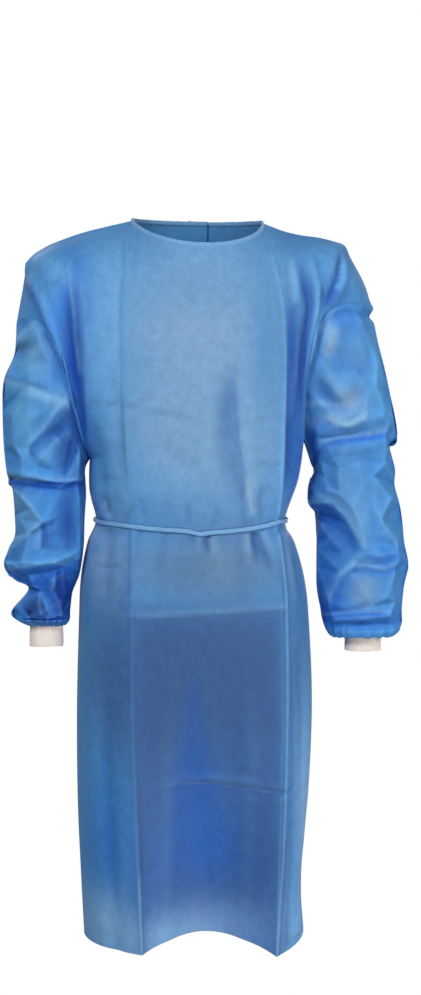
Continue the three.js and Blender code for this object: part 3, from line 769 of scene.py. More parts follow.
@dataclass(frozen=True)
class Fold:
    """A soft trough or ridge along a line, in the front view.

    "line" is its points, x and z in millimetres; "height" is that of a ridge, or less than 0 for a
    trough; "width" is how far it reaches each way; "edge" is 0 for a round fold and 1 for a sharp one;
    "lean" makes one side steeper; "taper" is the share of its length over which each end fades.
    """

    line: Points
    height: float
    width: float
    edge: float = 0.3
    lean: float = 0.0
    taper: tuple[float, float] = (0.3, 0.3)

    def at(self, x: np.ndarray, z: np.ndarray) -> np.ndarray:
        """The fold's height at points of the cloth, in millimetres."""
        best, side, share = beside(self.line, x, z)
        width = self.width * (1 + self.lean * side)
        distance = best / width
        soft = np.exp(-((distance * ROUND_FALL) ** 2))
        sharp = np.maximum(1 - distance, 0) ** SHARP_FALL
        return self.height * tapered(share, self.taper) * (soft + (sharp - soft) * self.edge)


FRONT_FOLDS = table(
    Fold,  # line, height, width, edge, lean, taper
    # pressed creases, from folding the gown for its packet
    (((-118, -34), (-128, -150), (-127, -208), (-122, -330), (-111, -445)), 1.4, 5, 1, 0, INTO_TIE),
    (((-111, -470), (-114, -601), (-112, -760), (-104, -920), (-99, -1100)), 0.7, 5, 1, 0, WHOLE),
    (((103, -46), (116, -124), (120, -211), (117, -330), (113, -452)), 1.8, 5, 1, 0, INTO_TIE),
    (((112, -478), (119, -560), (120, -700), (117, -840), (112, -950), (100, -1105)), 2.6, 5, 1, 0, WHOLE),
    (((-166, -601), (-114, -598), (-8, -593), (122, -587)), 1.6, 6, 0.9, 0.3, (0.3, 0.02)),
    (((-8, -588), (40, -586), (122, -582)), 0.8, 9, 0.2, 0, (0.4, 0.02)),
    (((-187, -281), (-114, -290), (-60, -302), (-10, -306)), -1.0, 4.5, 0.9),
    (((-179, -391), (-118, -398)), -1.0, 4.5, 0.9),
    (((74, -374), (115, -374)), -1.0, 4.5, 0.9),
    (((-160, -526), (-122, -527)), -1.0, 4.5, 0.9),
    # the left shoulder: a deep trough beside the armhole, and the ridge that the shoulder pulls up
    (((-203, -72), (-205, -170), (-198, -280), (-180, -398)), -15, 25, 0.25, 0.15, (0.3, 0.35)),
    (((-262, -78), (-246, -126), (-231, -172), (-214, -215), (-200, -275), (-182, -335)), 5, 15, 0.5, 0,
     (0.1, 0.3)),
    (((-203, -64), (-202, -124), (-193, -190)), 3.4, 8, 0.7),
    (((-214, -66), (-226, -112)), 2.6, 11, 0.3),
    (((-186, -78), (-180, -160), (-170, -250)), 3, 15, 0.2),
    (((-206, -60), (-192, -68), (-180, -84)), -2.2, 5, 0.8),
    (((-166, -300), (-156, -380), (-150, -440)), -4.5, 14, 0.3),
    # the right shoulder: narrow folds that hang from the seam
    (((147, -58), (159, -136), (150, -221), (150, -310)), -9, 11, 0.5, 0, (0.25, 0.4)),
    (((137, -60), (141, -130), (136, -215), (133, -300)), 3.4, 10, 0.4),
    (((128, -66), (129, -130)), -2.4, 6, 0.6),
    (((160, -46), (172, -110), (165, -190), (160, -270)), 4.6, 10, 0.4),
    (((170, -44), (182, -100), (176, -150)), -4, 8, 0.6),
    (((216, -46), (207, -92), (183, -142)), -4, 8, 0.7, 0.3),
    (((224, -52), (216, -92), (200, -132)), 3.2, 9, 0.5),
    (((128, -290), (130, -360), (126, -430)), -3.6, 13, 0.3),
    # soft folds of the chest and the waist
    (((42, -215), (29, -300), (27, -360), (56, -445)), -4.2, 20, 0.0, 0.3, (0.35, 0.3)),
    (((8, -240), (0, -330), (6, -420)), 2.6, 24, 0.0),
    (((70, -250), (62, -340), (70, -420)), 2.4, 22, 0.0),
    (((-140, -215), (-132, -300), (-126, -420)), -3.2, 13, 0.3),
    (((-70, -120), (-20, -150), (40, -148)), 1.6, 30, 0.0),
    (((-84, -330), (-40, -372), (0, -380)), -1.6, 22, 0.0),
    (((54, -398), (61, -462)), -3.2, 7, 0.5),
    (((63, -410), (68, -464)), 3, 7, 0.4),
    (((84, -402), (84, -462)), -3, 8, 0.5),
    (((-96, -420), (-92, -462)), -2.2, 8, 0.4),
    (((-30, -432), (-26, -474)), -1.8, 8, 0.4),
    (((16, -440), (13, -474)), -2.2, 7, 0.4),
    (((-168, -420), (-158, -440), (-148, -462)), 4.5, 9, 0.6),
    (((-150, -420), (-142, -456)), -4, 9, 0.5),
    # gathers under the tie
    (((1, -482), (4, -512)), -4, 5.5, 0.6, 0, FROM_TIE),
    (((-9, -482), (-12, -520)), 2.2, 7, 0.4, 0, FROM_TIE),
    (((14, -480), (24, -540)), 2.0, 9, 0.3, 0, FROM_TIE),
    (((70, -476), (79, -532)), -4.2, 6, 0.7, 0, FROM_TIE),
    (((73, -476), (98, -546)), -4, 6.5, 0.7, 0, FROM_TIE),
    (((64, -478), (62, -540)), 2.4, 8, 0.3, 0, FROM_TIE),
    (((86, -474), (106, -520)), 2.6, 8, 0.4, 0, FROM_TIE),
    (((-60, -476), (-70, -560)), -2.0, 10, 0.3, 0, FROM_TIE),
    (((-96, -472), (-104, -540)), -1.8, 8, 0.3, 0, FROM_TIE),
    (((-140, -470), (-146, -540), (-150, -600)), -3, 14, 0.2, 0, FROM_SEAM),
    (((134, -470), (146, -540), (150, -600)), -3.4, 12, 0.3, 0, FROM_SEAM),
    # soft flutes of the skirt
    (((-75, -851), (-38, -844), (15, -848), (67, -855), (118, -862)), -2.6, 6.5, 0.6, 0.3, (0.25, 0.02)),
    (((-60, -838), (15, -838), (110, -850)), 1.2, 12, 0.1),
    (((118, -862), (137, -851)), -2.2, 5, 0.7, 0, FROM_SEAM),
    (((-34, -640), (-24, -760), (-12, -900), (-6, -1080)), -2.6, 38, 0.0, 0, INTO_HEM),
    (((60, -640), (66, -800), (60, -1000), (54, -1090)), 3.4, 28, 0.0, 0, INTO_HEM),
    (((-64, -700), (-60, -900), (-58, -1090)), 3, 26, 0.0, 0, (0.5, 0)),
    (((-146, -640), (-150, -800), (-140, -1000), (-134, -1100)), -3.4, 16, 0.1, 0, INTO_HEM),
    (((140, -620), (148, -760), (146, -900)), -4.2, 12, 0.2),
    (((156, -860), (150, -960), (140, -1080)), 4, 11, 0.3, 0, INTO_HEM),
    (((132, -900), (128, -1000), (122, -1090)), -3.4, 10, 0.2, 0, INTO_HEM),
)
BACK_FOLDS = table(
    Fold,  # line, height, width, edge, lean, taper
    (((-116, -30), (-118, -140), (-119, -250), (-116, -400), (-110, -450)), 1.5, 5, 1, 0, INTO_TIE),
    (((-110, -470), (-113, -600), (-113, -760), (-107, -920), (-99, -1100)), 2.2, 5, 1, 0, WHOLE),
    (((116, -30), (118, -140), (119, -250), (116, -400), (110, -450)), 1.5, 5, 1, 0, INTO_TIE),
    (((110, -470), (113, -600), (113, -760), (107, -920), (99, -1100)), 2.2, 5, 1, 0, WHOLE),
    (((-160, -603), (0, -598), (160, -600)), -2.0, 6, 0.9, 0.3, (0.1, 0.1)),
    (((-170, -292), (0, -298), (150, -288)), -1.2, 5, 0.9, 0, (0.1, 0.1)),
    (((-150, -852), (-40, -846), (90, -852), (150, -846)), -2.0, 6, 0.7),
    (((-200, -70), (-196, -170), (-186, -280), (-168, -380)), -13, 23, 0.3, 0.1, (0.3, 0.3)),
    (((-180, -80), (-172, -170), (-160, -260)), 3.4, 14, 0.2),
    (((166, -56), (156, -140), (146, -230), (146, -310)), -11, 15, 0.4, 0, (0.3, 0.3)),
    (((142, -70), (140, -150), (134, -240)), 3.6, 12, 0.3),
    (((200, -60), (190, -110), (176, -150)), -4, 9, 0.6),
    (((-60, -90), (-66, -200), (-60, -330), (-68, -440)), -5, 24, 0.1),
    (((74, -110), (80, -220), (70, -340), (78, -440)), -5.4, 24, 0.1),
    (((-20, -60), (-30, -160), (-28, -260)), 2.2, 18, 0.1),
    (((-130, -400), (-128, -462)), -3.2, 9, 0.5),
    (((-84, -408), (-80, -462)), -3, 8, 0.5),
    (((-42, -412), (-46, -462)), 2.4, 8, 0.4),
    (((40, -404), (46, -462)), -3, 8, 0.5),
    (((92, -410), (88, -462)), 2.8, 9, 0.4),
    (((126, -404), (124, -462)), -3, 9, 0.5),
    (((-124, -478), (-134, -560)), -4, 9, 0.5, 0, FROM_TIE),
    (((-86, -478), (-92, -560)), 2.8, 9, 0.3, 0, FROM_TIE),
    (((-58, -478), (-56, -548)), -3.6, 8, 0.5, 0, FROM_TIE),
    (((56, -478), (66, -556)), -4, 8, 0.5, 0, FROM_TIE),
    (((88, -478), (96, -550)), 2.8, 9, 0.3, 0, FROM_TIE),
    (((122, -478), (134, -566)), -4, 9, 0.5, 0, FROM_TIE),
    (((-66, -640), (-74, -800), (-70, -960), (-64, -1090)), -6, 32, 0.0, 0, INTO_HEM),
    (((72, -640), (80, -800), (78, -960), (70, -1090)), -6.5, 32, 0.0, 0, INTO_HEM),
    (((-20, -640), (-24, -860), (-22, -1090)), 3.4, 26, 0.0, 0, INTO_HEM),
    (((150, -660), (154, -840), (146, -1080)), -4, 14, 0.2, 0, INTO_HEM),
    (((-158, -660), (-160, -840), (-150, -1090)), -4, 14, 0.2, 0, INTO_HEM),
)
LEFT_FRONT_FOLDS = table(
    Fold,  # line, height, width, edge, lean, taper
    (((-252, -167), (-268, -180), (-284, -197)), 3.4, 8, 0.8),
    (((-252, -167), (-236, -205), (-214, -251)), 5, 10, 0.8, 0, (0.1, 0.3)),
    (((-238, -176), (-222, -212), (-203, -258)), -8, 10, 0.5),
    (((-252, -167), (-266, -146), (-272, -128)), 2.6, 7, 0.7),
    (((-262, -186), (-270, -214), (-290, -236)), -3.4, 13, 0.4),
    (((-298, -246), (-260, -258), (-225, -270), (-200, -281)), -7, 13, 0.8, 0.2, FROM_EDGE),
    (((-290, -268), (-250, -276), (-212, -285)), 4.6, 15, 0.5),
    (((-204, -290), (-232, -322), (-266, -362)), 6, 13, 0.7, 0.2),
    (((-203, -304), (-226, -342), (-246, -366)), -9, 13, 0.5),
    (((-242, -346), (-228, -372), (-213, -388)), 4.4, 10, 0.6),
    (((-192, -325), (-199, -362), (-209, -396)), -6.5, 8, 0.7),
    (((-184, -350), (-190, -392)), 3.6, 7, 0.5),
    (((-300, -300), (-286, -340), (-276, -384)), -3, 14, 0.4),
    (((-294, -384), (-240, -391), (-184, -391)), 5, 12, 0.6, 0, FROM_EDGE),
    (((-294, -396), (-237, -405), (-182, -404)), -11, 11, 0.8, 0.2, FROM_EDGE),
    (((-288, -406), (-266, -428), (-245, -452)), 5, 10, 0.9),
    (((-243, -464), (-262, -478), (-286, -490)), 4.4, 10, 0.9),
    (((-283, -430), (-280, -462)), -4, 13, 0.5),
    (((-240, -460), (-239, -506)), -4.6, 8, 0.8),
    (((-232, -440), (-229, -500)), 3, 8, 0.6),
    (((-212, -420), (-208, -460), (-212, -500)), -8, 17, 0.3),
    (((-190, -420), (-190, -480)), 3, 9, 0.4),
    (((-298, -518), (-277, -528), (-222, -520), (-180, -505)), 5.5, 11, 0.7, 0, FROM_EDGE),
    (((-292, -534), (-272, -543), (-218, -534), (-182, -519)), -11, 11, 0.8, 0, FROM_EDGE),
    (((-221, -528), (-224, -565)), 4, 7, 0.8),
    (((-236, -540), (-243, -572)), -4.4, 8, 0.7),
    (((-206, -532), (-204, -570)), -4, 8, 0.7),
    (((-264, -562), (-246, -570), (-240, -608)), 4, 7, 0.9),
    (((-288, -592), (-262, -584), (-248, -600)), 3.4, 8, 0.8),
    (((-274, -604), (-258, -596)), -3, 7, 0.6),
    (((-226, -572), (-229, -612)), -4, 7, 0.7),
    (((-212, -572), (-214, -610)), 3, 6, 0.7),
)
LEFT_BACK_FOLDS = table(
    Fold,  # line, height, width, edge, lean, taper
    (((-286, -200), (-250, -214), (-214, -232)), -6, 13, 0.7),
    (((-280, -220), (-244, -238), (-206, -262)), 4.6, 14, 0.6),
    (((-296, -272), (-262, -300), (-226, -312), (-196, -300)), -8, 13, 0.7),
    (((-292, -300), (-256, -336), (-214, -352)), 5, 12, 0.7),
    (((-208, -330), (-236, -360), (-258, -392)), -7, 12, 0.6),
    (((-290, -388), (-240, -398), (-184, -402)), 5, 12, 0.6, 0, FROM_EDGE),
    (((-290, -402), (-240, -412), (-182, -416)), -10, 11, 0.8, 0, FROM_EDGE),
    (((-278, -424), (-240, -456), (-206, -470)), 4.6, 11, 0.8),
    (((-270, -452), (-236, -484), (-196, -494)), -6, 12, 0.6),
    (((-294, -520), (-244, -512), (-184, -522)), 5, 11, 0.7, 0, FROM_EDGE),
    (((-290, -536), (-244, -528), (-186, -538)), -9, 11, 0.8, 0, FROM_EDGE),
    (((-250, -544), (-244, -606)), 3.6, 7, 0.8),
    (((-226, -548), (-230, -608)), -4, 8, 0.7),
    (((-266, -570), (-262, -606)), -3.4, 7, 0.7),
)
RIGHT_FRONT_FOLDS = table(
    Fold,  # line, height, width, edge, lean, taper
    (((264, -142), (240, -145), (220, -142), (191, -156), (172, -178), (162, -214)), -6, 9, 0.7, 0,
     (0.02, 0.3)),
    (((262, -158), (232, -160), (204, -172), (188, -196)), 3.4, 12, 0.3),
    (((180, -232), (199, -226), (225, -231), (253, -237)), -3.4, 6, 0.9),
    (((184, -220), (212, -216), (246, -224)), 2.2, 9, 0.3),
    (((212, -150), (206, -190), (198, -218)), 3.2, 14, 0.2),
    (((236, -150), (240, -200)), -3.4, 14, 0.2),
    (((176, -245), (197, -262), (217, -283)), 6, 10, 0.8),
    (((170, -258), (188, -278), (206, -296)), -6, 11, 0.5),
    (((153, -277), (170, -270)), -4, 7, 0.8),
    (((153, -278), (176, -300)), 3, 7, 0.7),
    (((188, -303), (219, -316), (244, -302), (246, -280)), 5, 10, 0.7),
    (((206, -296), (226, -290)), -4, 11, 0.2),
    (((252, -210), (268, -262), (284, -310)), -3, 16, 0.2),
    (((176, -330), (230, -324), (268, -318), (296, -311)), 4.4, 11, 0.5, 0, (0.1, 0.02)),
    (((175, -344), (232, -337), (267, -330), (302, -322)), -11, 11, 0.8, 0, (0.1, 0.02)),
    (((186, -358), (236, -352), (288, -342)), 4.4, 12, 0.5),
    (((172, -384), (183, -349)), -7, 8, 0.7),
    (((246, -361), (262, -386), (270, -404)), -3.6, 14, 0.3),
    (((212, -366), (218, -400), (232, -430)), 3, 16, 0.2),
    (((180, -398), (186, -424)), -4.4, 10, 0.4),
    (((158, -426), (193, -432), (219, -450), (235, -478), (248, -508)), 7.5, 13, 0.8, 0, (0.05, 0.1)),
    (((162, -440), (200, -458), (222, -486), (234, -520)), -9, 14, 0.6),
    (((248, -511), (226, -530), (198, -566)), 5.4, 9, 0.9),
    (((236, -506), (212, -526), (194, -548)), -5, 10, 0.5),
    (((190, -470), (194, -520)), 3.4, 14, 0.3),
    (((270, -473), (286, -486), (304, -503)), 3.6, 7, 0.9),
    (((262, -486), (280, -502), (298, -514)), -3, 9, 0.4),
    (((272, -400), (284, -440), (300, -470)), -3.2, 14, 0.3),
    (((226, -524), (268, -526), (306, -518), (322, -514)), 4, 9, 0.6, 0, (0.1, 0.02)),
    (((224, -537), (268, -539), (306, -531), (322, -527)), -8, 9, 0.8, 0, (0.1, 0.02)),
    (((216, -548), (216, -590)), -4.4, 9, 0.5),
    (((198, -566), (190, -596)), 4, 8, 0.7),
    (((298, -548), (300, -590)), -3.4, 12, 0.3),
    (((184, -602), (226, -598), (300, -603)), -4.5, 8, 0.6),
    (((182, -614), (226, -611), (306, -614)), 4, 8, 0.5),
)
RIGHT_BACK_FOLDS = table(
    Fold,  # line, height, width, edge, lean, taper
    (((282, -170), (240, -182), (200, -204), (172, -240)), -6.5, 13, 0.6),
    (((286, -194), (246, -208), (206, -232)), 4.6, 14, 0.5),
    (((296, -250), (256, -262), (216, -290), (184, -300)), -7.5, 13, 0.7),
    (((300, -276), (254, -290), (206, -318)), 5, 13, 0.6),
    (((300, -322), (240, -336), (178, -346)), -11, 11, 0.8, 0, FROM_EDGE),
    (((300, -340), (240, -354), (184, -364)), 5, 12, 0.5),
    (((300, -392), (252, -404), (206, -440)), 5, 12, 0.7),
    (((296, -410), (246, -424), (190, -462)), -7.5, 13, 0.6),
    (((312, -470), (262, -486), (220, -520)), 4.6, 11, 0.7),
    (((316, -494), (262, -508), (196, -540)), -7.5, 12, 0.7),
    (((318, -536), (256, -548), (192, -570)), 4.4, 10, 0.6),
    (((240, -560), (236, -604)), -4.4, 9, 0.6),
    (((276, -556), (280, -600)), -4, 9, 0.6),
    (((186, -604), (240, -601), (306, -604)), -4.5, 8, 0.6),
)
FOLDS: dict[tuple[Part, Face], tuple[Fold, ...]] = {
    (Part.BODY, Face.FRONT): FRONT_FOLDS,
    (Part.BODY, Face.BACK): BACK_FOLDS,
    (Part.LEFT_SLEEVE, Face.FRONT): LEFT_FRONT_FOLDS,
    (Part.LEFT_SLEEVE, Face.BACK): LEFT_BACK_FOLDS,
    (Part.RIGHT_SLEEVE, Face.FRONT): RIGHT_FRONT_FOLDS,
    (Part.RIGHT_SLEEVE, Face.BACK): RIGHT_BACK_FOLDS,
}


Line = tuple[tuple[float, float, float], ...]  # a ridge or a hollow: x, z and how far it stands out
LEFT_FACETS: tuple[Line, ...] = (
    ((-292, -247, 3), (-261, -257, 8), (-230, -268, 7), (-203, -279, 3)),
    ((-284, -200, 2), (-270, -186, 3), (-258, -173, 5), (-245, -196, 3), (-230, -222, 0)),
    ((-246, -178, -2), (-233, -210, -5), (-214, -251, -7), (-205, -268, -5)),
    ((-262, -222, -4),),
    ((-285, -225, 0),),
    ((-203, -288, -5), (-218, -308, -6), (-240, -335, -7), (-258, -354, -6)),
    ((-286, -300, 4), (-262, -310, 7), (-236, -296, 6)),
    ((-285, -345, 5), (-272, -368, 5)),
    ((-242, -366, 4), (-224, -345, 0), (-205, -322, -3)),
    ((-190, -315, -4), (-189, -345, -5), (-196, -372, -7), (-205, -394, -9), (-226, -384, -8),
     (-250, -378, -4)),
    ((-184, -350, 3), (-185, -380, 4)),
    ((-291, -392, 3), (-270, -393, 7), (-248, -396, 6), (-226, -401, 4), (-204, -404, 2), (-186, -396, 3)),
    ((-289, -403, -2), (-266, -407, -7), (-240, -411, -9), (-212, -413, -8), (-187, -406, -4)),
    ((-284, -412, 2), (-271, -425, 6), (-256, -443, 8), (-242, -462, 10), (-262, -478, 7), (-284, -491, 3)),
    ((-275, -455, -4),),
    ((-236, -469, -3), (-237, -485, -7), (-239, -503, -6)),
    ((-222, -430, -5), (-208, -450, -9), (-206, -478, -8), (-210, -500, -5)),
    ((-184, -430, 2), (-184, -480, 0)),
    ((-294, -524, 3), (-272, -521, 7), (-248, -522, 8), (-222, -519, 7), (-202, -511, 5), (-184, -502, 3)),
    ((-288, -536, -3), (-262, -541, -9), (-236, -540, -10), (-208, -531, -9), (-187, -519, -4)),
    ((-226, -548, 4), (-224, -566, 3)),
    ((-254, -558, 3), (-242, -564, 1)),
    ((-238, -573, -6), (-228, -590, -6), (-234, -606, -4)),
    ((-206, -548, -3), (-207, -575, -4)),
    ((-262, -572, 5), (-247, -582, 5), (-243, -598, 4)),
    ((-216, -580, 4), (-212, -600, 4)),
    ((-280, -589, 3),),
    ((-262, -604, -3),),
    ((-200, -585, 1),),
)
RIGHT_FACETS: tuple[Line, ...] = (
    ((196, -146, 5), (190, -170, 6), (186, -198, 5)),
    ((216, -173, -3),),
    ((176, -176, -5), (169, -215, -3)),
    ((242, -150, 3), (240, -184, 4)),
    ((263, -190, 1), (272, -218, 2)),
    ((214, -196, -2),),
    ((183, -208, -4), (209, -210, -6), (232, -216, -5), (252, -222, -5)),
    ((182, -228, 7), (196, -246, 9), (210, -266, 9)),
    ((176, -246, -4), (186, -266, -7), (200, -282, -6)),
    ((161, -263, 1),),
    ((232, -240, 3),),
    ((268, -254, 5),),
    ((219, -279, -4), (238, -269, -5)),
    ((190, -290, 5), (209, -299, 8), (230, -299, 8), (248, -290, 7), (252, -269, 5)),
    ((171, -302, -4),),
    ((282, -285, 4),),
    ((180, -326, 3), (200, -320, 6), (224, -315, 7), (250, -309, 6), (277, -301, 6), (298, -299, 3)),
    ((178, -334, -4), (203, -331, -8), (232, -327, -9), (261, -320, -8), (292, -312, -5)),
    ((190, -345, 2), (219, -343, 5), (251, -337, 5), (284, -331, 4)),
    ((181, -347, -3), (184, -366, -7), (190, -392, -5)),
    ((209, -381, 5),),
    ((240, -366, -3), (264, -391, -4)),
    ((284, -372, 4),),
    ((174, -411, 1), (192, -413, 6), (210, -420, 9), (229, -442, 10), (241, -471, 9), (249, -499, 8),
     (228, -517, 5), (207, -538, 5), (195, -583, 4)),
    ((177, -422, -3), (190, -429, -8), (205, -440, -9), (220, -465, -9), (233, -491, -6)),
    ((244, -408, 5),),
    ((180, -461, 0),),
    ((197, -485, -3),),
    ((184, -507, 1),),
    ((214, -508, -6), (196, -520, -5)),
    ((187, -551, -3),),
    ((264, -430, -3), (266, -487, -4)),
    ((274, -459, 5), (286, -476, 6), (301, -491, 4)),
    ((290, -497, -3),),
    ((294, -425, 3),),
    ((250, -511, 7), (272, -513, 7), (303, -509, 4)),
    ((236, -524, -5), (256, -526, -8), (280, -525, -8), (303, -519, -4)),
    ((230, -542, 1),),
    ((258, -556, 4), (292, -556, 4)),
    ((219, -570, -5),),
    ((248, -577, 3), (283, -577, 2)),
    ((198, -600, -3), (222, -595, -5), (258, -590, -5), (298, -584, -3)),
    ((204, -611, 4), (242, -608, 5), (288, -605, 4)),
)


BACK_LIFT = 0.8  # share of their lift that facets keep behind a sleeve


def facets_behind(lines: tuple[Line, ...], shift: float, drop: float) -> tuple[Line, ...]:
    """The facets of one sleeve's front, carried over to the other sleeve's back."""
    return tuple(tuple((shift - x, z - drop, BACK_LIFT * lift) for x, z, lift in line) for line in lines)


FACETS: dict[tuple[Part, Face], tuple[Line, ...]] = {
    (Part.LEFT_SLEEVE, Face.FRONT): LEFT_FACETS,
    (Part.LEFT_SLEEVE, Face.BACK): facets_behind(RIGHT_FACETS, 4, -7),
    (Part.RIGHT_SLEEVE, Face.FRONT): RIGHT_FACETS,
    (Part.RIGHT_SLEEVE, Face.BACK): facets_behind(LEFT_FACETS, 2, 11),
}
FACET_LIFT = 0.66  # share of a stop's height that its facets take
FACET_FACING = (-0.05, 0.35)  # how far cloth faces a side where that side's facets start and are whole
FACET_END = (2, 24)  # heights above the sleeve's end between which its facets start
LEAST_AREA = 1.0  # twice the least area of a facet, in square millimetres
LEAST_SHARE = 0.001  # points with less of a share than this are left alone
SLEEVE_FOLD_SHARE = 0.36  # of the height of a sleeve fold that its facets don't already give
MINE = 0.4  # least share of a point that makes it a part's own
FACES_IT = 0.1  # least that cloth must face a side to be part of it
DEPTH_POINTS = 4  # how many points the depth at a place is the mean of
SAME_CORNER = 1e-4  # corners of facets that are this near are one


class Faceting:
    """Flattens a sleeve between ridges and hollows, as stiff thin cloth does when it bends."""

    def __init__(self, surface: Surface, masks: dict[Part, np.ndarray]) -> None:
        """Measures the surface.

        Args:
            surface: The sewn gown's surface, smoothed.
            masks: How far each point belongs to each part.
        """
        self.surface = surface
        self.masks = masks
        self.places = surface.sewing.places()
        self.normals = surface.sewing.normals()

    def depth(self, pose: Pose, face: Face, x: float, z: float) -> float:
        """Depth of the sleeve's front or back at a place in the front view, in millimetres."""
        own = (self.masks[pose.part] > MINE) & (face.value * self.normals[:, 1] > FACES_IT)
        away = np.hypot(self.places[own, 0] / MM - x, self.places[own, 2] / MM - z)
        nearest = np.argsort(away)[:DEPTH_POINTS]
        return float(self.places[own, 1][nearest].mean() / MM)

    def corners(self, pose: Pose, face: Face, lines: tuple[Line, ...]) -> tuple[np.ndarray, list]:
        """The facets' corners, those of the lines and of the outline, and the edges along the lines."""
        inner, edges = [], []
        for line in lines:
            first = len(inner)
            for x, z, lift in line:
                inner.append((x, self.depth(pose, face, x, z) + face.value * lift * FACET_LIFT, z))
            edges += [(number, number + 1) for number in range(first, len(inner) - 1)]
        outline = [(pose.sign * row[0], row[5], row[1]) for row in pose.sleeve]
        outline += [(pose.sign * row[2], row[5], row[3]) for row in pose.sleeve]
        outline += [tuple(stop * (pose.sign, face.value, 1)) for stop in pose.armhole]
        return np.array(inner + outline), edges

    def flatten(self, pose: Pose, face: Face, lines: tuple[Line, ...]) -> None:
        """Moves the sleeve's points towards its facets."""
        corners, edges = self.corners(pose, face, lines)
        flat = [Vector((x, z)) for x, _, z in corners]
        _, _, triangles, origins, _, _ = geometry.delaunay_2d_cdt(flat, edges, [], 0, SAME_CORNER)
        source = [group[0] for group in origins]
        facing = fade(face.value * self.normals[:, 1], *FACET_FACING) * self.masks[pose.part]
        facing *= fade(self.places[:, 2] / MM, *(pose.wrist.top + height for height in FACET_END))
        near = np.flatnonzero(facing > LEAST_SHARE)
        x, z = self.places[near, 0] / MM, self.places[near, 2] / MM
        depth = self.places[near, 1] / MM
        aim = depth.copy()
        for triangle in triangles:
            a, b, c = (corners[source[number]] for number in triangle)
            area = (b[0] - a[0]) * (c[2] - a[2]) - (c[0] - a[0]) * (b[2] - a[2])
            if abs(area) < LEAST_AREA:
                continue
            to_b = ((x - a[0]) * (c[2] - a[2]) - (c[0] - a[0]) * (z - a[2])) / area
            to_c = ((b[0] - a[0]) * (z - a[2]) - (x - a[0]) * (b[2] - a[2])) / area
            inside = (to_b >= 0) & (to_c >= 0) & (to_b + to_c <= 1)
            aim[inside] = (a[1] + to_b * (b[1] - a[1]) + to_c * (c[1] - a[1]))[inside]
        moved = np.zeros(len(self.places))
        moved[near] = (aim - depth) * facing[near]
        self.places[:, 1] += self.surface.soften(moved, 1) * MM

    def finish(self) -> None:
        """Hands the flattened points back to the surface."""
        self.surface.sewing.move(self.places)


FOLD_FACING = (0.2, 1.5)  # share of a fold on cloth seen edge-on, and how fast it grows with its facing
GATHERS = 15  # pleats round a sleeve's end
GATHER_HEIGHT = 0.8
GATHER_END = 2  # they are whole this far above the sleeve's end
GATHER_REACH = {"outer": 20, "inner": 26}  # how far up they go on the sleeve's outer and inner side
SEAM_BLUR = 6  # passes that spread a sleeve's share over its armhole seam
NIPS = (  # x, y, z, reach and depth of each
    (271, 0, -142, 7, 9), (268, -14, -141, 8, 7), (268, 16, -141, 8, 5),
    (277, 0, -130, 7, -6), (272, -14, -128, 8, -5),
    (-299, 0, -402, 8, 3), (-297, -12, -402, 8, 3), (301, -4, -342, 8, 3.5), (174, 0, -386, 9, 4),
    (-284, -8, -500, 9, -2), (-264, 0, -71, 9, -3.5), (226, 0, -36, 9, -3),
)


class Folding:
    """Puts folds into the sewn surface."""

    def __init__(self, surface: Surface) -> None:
        """Measures the surface.

        Args:
            surface: The sewn gown's surface, smoothed.
        """
        self.surface = surface
        self.places = surface.sewing.places()
        self.normals = surface.sewing.normals()
        pieces = surface.sewing.piece_of_points()
        names = surface.sewing.names
        self.masks = {part: surface.soften(pieces[names.index(part.value)], SEAM_BLUR) for part in SLEEVES}
        self.masks[Part.BODY] = np.clip(1 - sum(self.masks.values()), 0, 1)

    def heights(self, part: Part, face: Face, folds: Sequence[Fold]) -> np.ndarray:
        """Heights of some folds at every point, in millimetres."""
        start, growth = FOLD_FACING
        facing = np.clip(start + growth * face.value * self.normals[:, 1], 0, 1) * self.masks[part]
        near = facing > LEAST_SHARE
        x, z = self.places[near, 0] / MM, self.places[near, 2] / MM
        total = np.zeros(len(self.places))
        for fold in folds:
            total[near] += fold.at(x, z) * facing[near]
        return total

    def gathers(self, pose: Pose) -> np.ndarray:
        """Heights of the small pleats where a sleeve is gathered into its cuff, in millimetres."""
        wrist = pose.wrist
        x, y, z = self.places.T / MM
        angle = np.arctan2(y - wrist.y, x - pose.sign * wrist.middle)
        uneven = angle + 0.16 * np.sin(3 * angle + pose.sign) + 0.1 * np.sin(5 * angle)
        wave = np.sin(GATHERS * uneven) + 0.5 * np.sin(1.6 * GATHERS * uneven + 2)
        reach = np.where(pose.sign * x > wrist.middle, GATHER_REACH["outer"], GATHER_REACH["inner"])
        near = fade(z, wrist.top + reach, wrist.top + GATHER_END) * self.masks[pose.part]
        return GATHER_HEIGHT * wave * near

    def nips(self) -> np.ndarray:
        """How far the cloth is drawn in at some small places on its outline, in millimetres."""
        total = np.zeros(len(self.places))
        for x, y, z, reach, depth in NIPS:
            away = np.linalg.norm(self.places / MM - (x, y, z), axis=1)
            total -= depth * np.exp(-((away / reach) ** 2))
        return total

    def relief(self) -> np.ndarray:
        """Heights of all folds, gathers and nips at every point, in millimetres."""
        total = self.gathers(LEFT) + self.gathers(RIGHT) + self.nips()
        for (part, face), folds in FOLDS.items():
            total += self.heights(part, face, folds) * (1 if part is Part.BODY else SLEEVE_FOLD_SHARE)
        return total

    def press(self) -> None:
        """Moves the surface out by its relief."""
        self.surface.sewing.move(self.places + self.normals * (self.relief() * MM)[:, None])


# ---- colours of the cloth ---------------------------------------------------------------------------


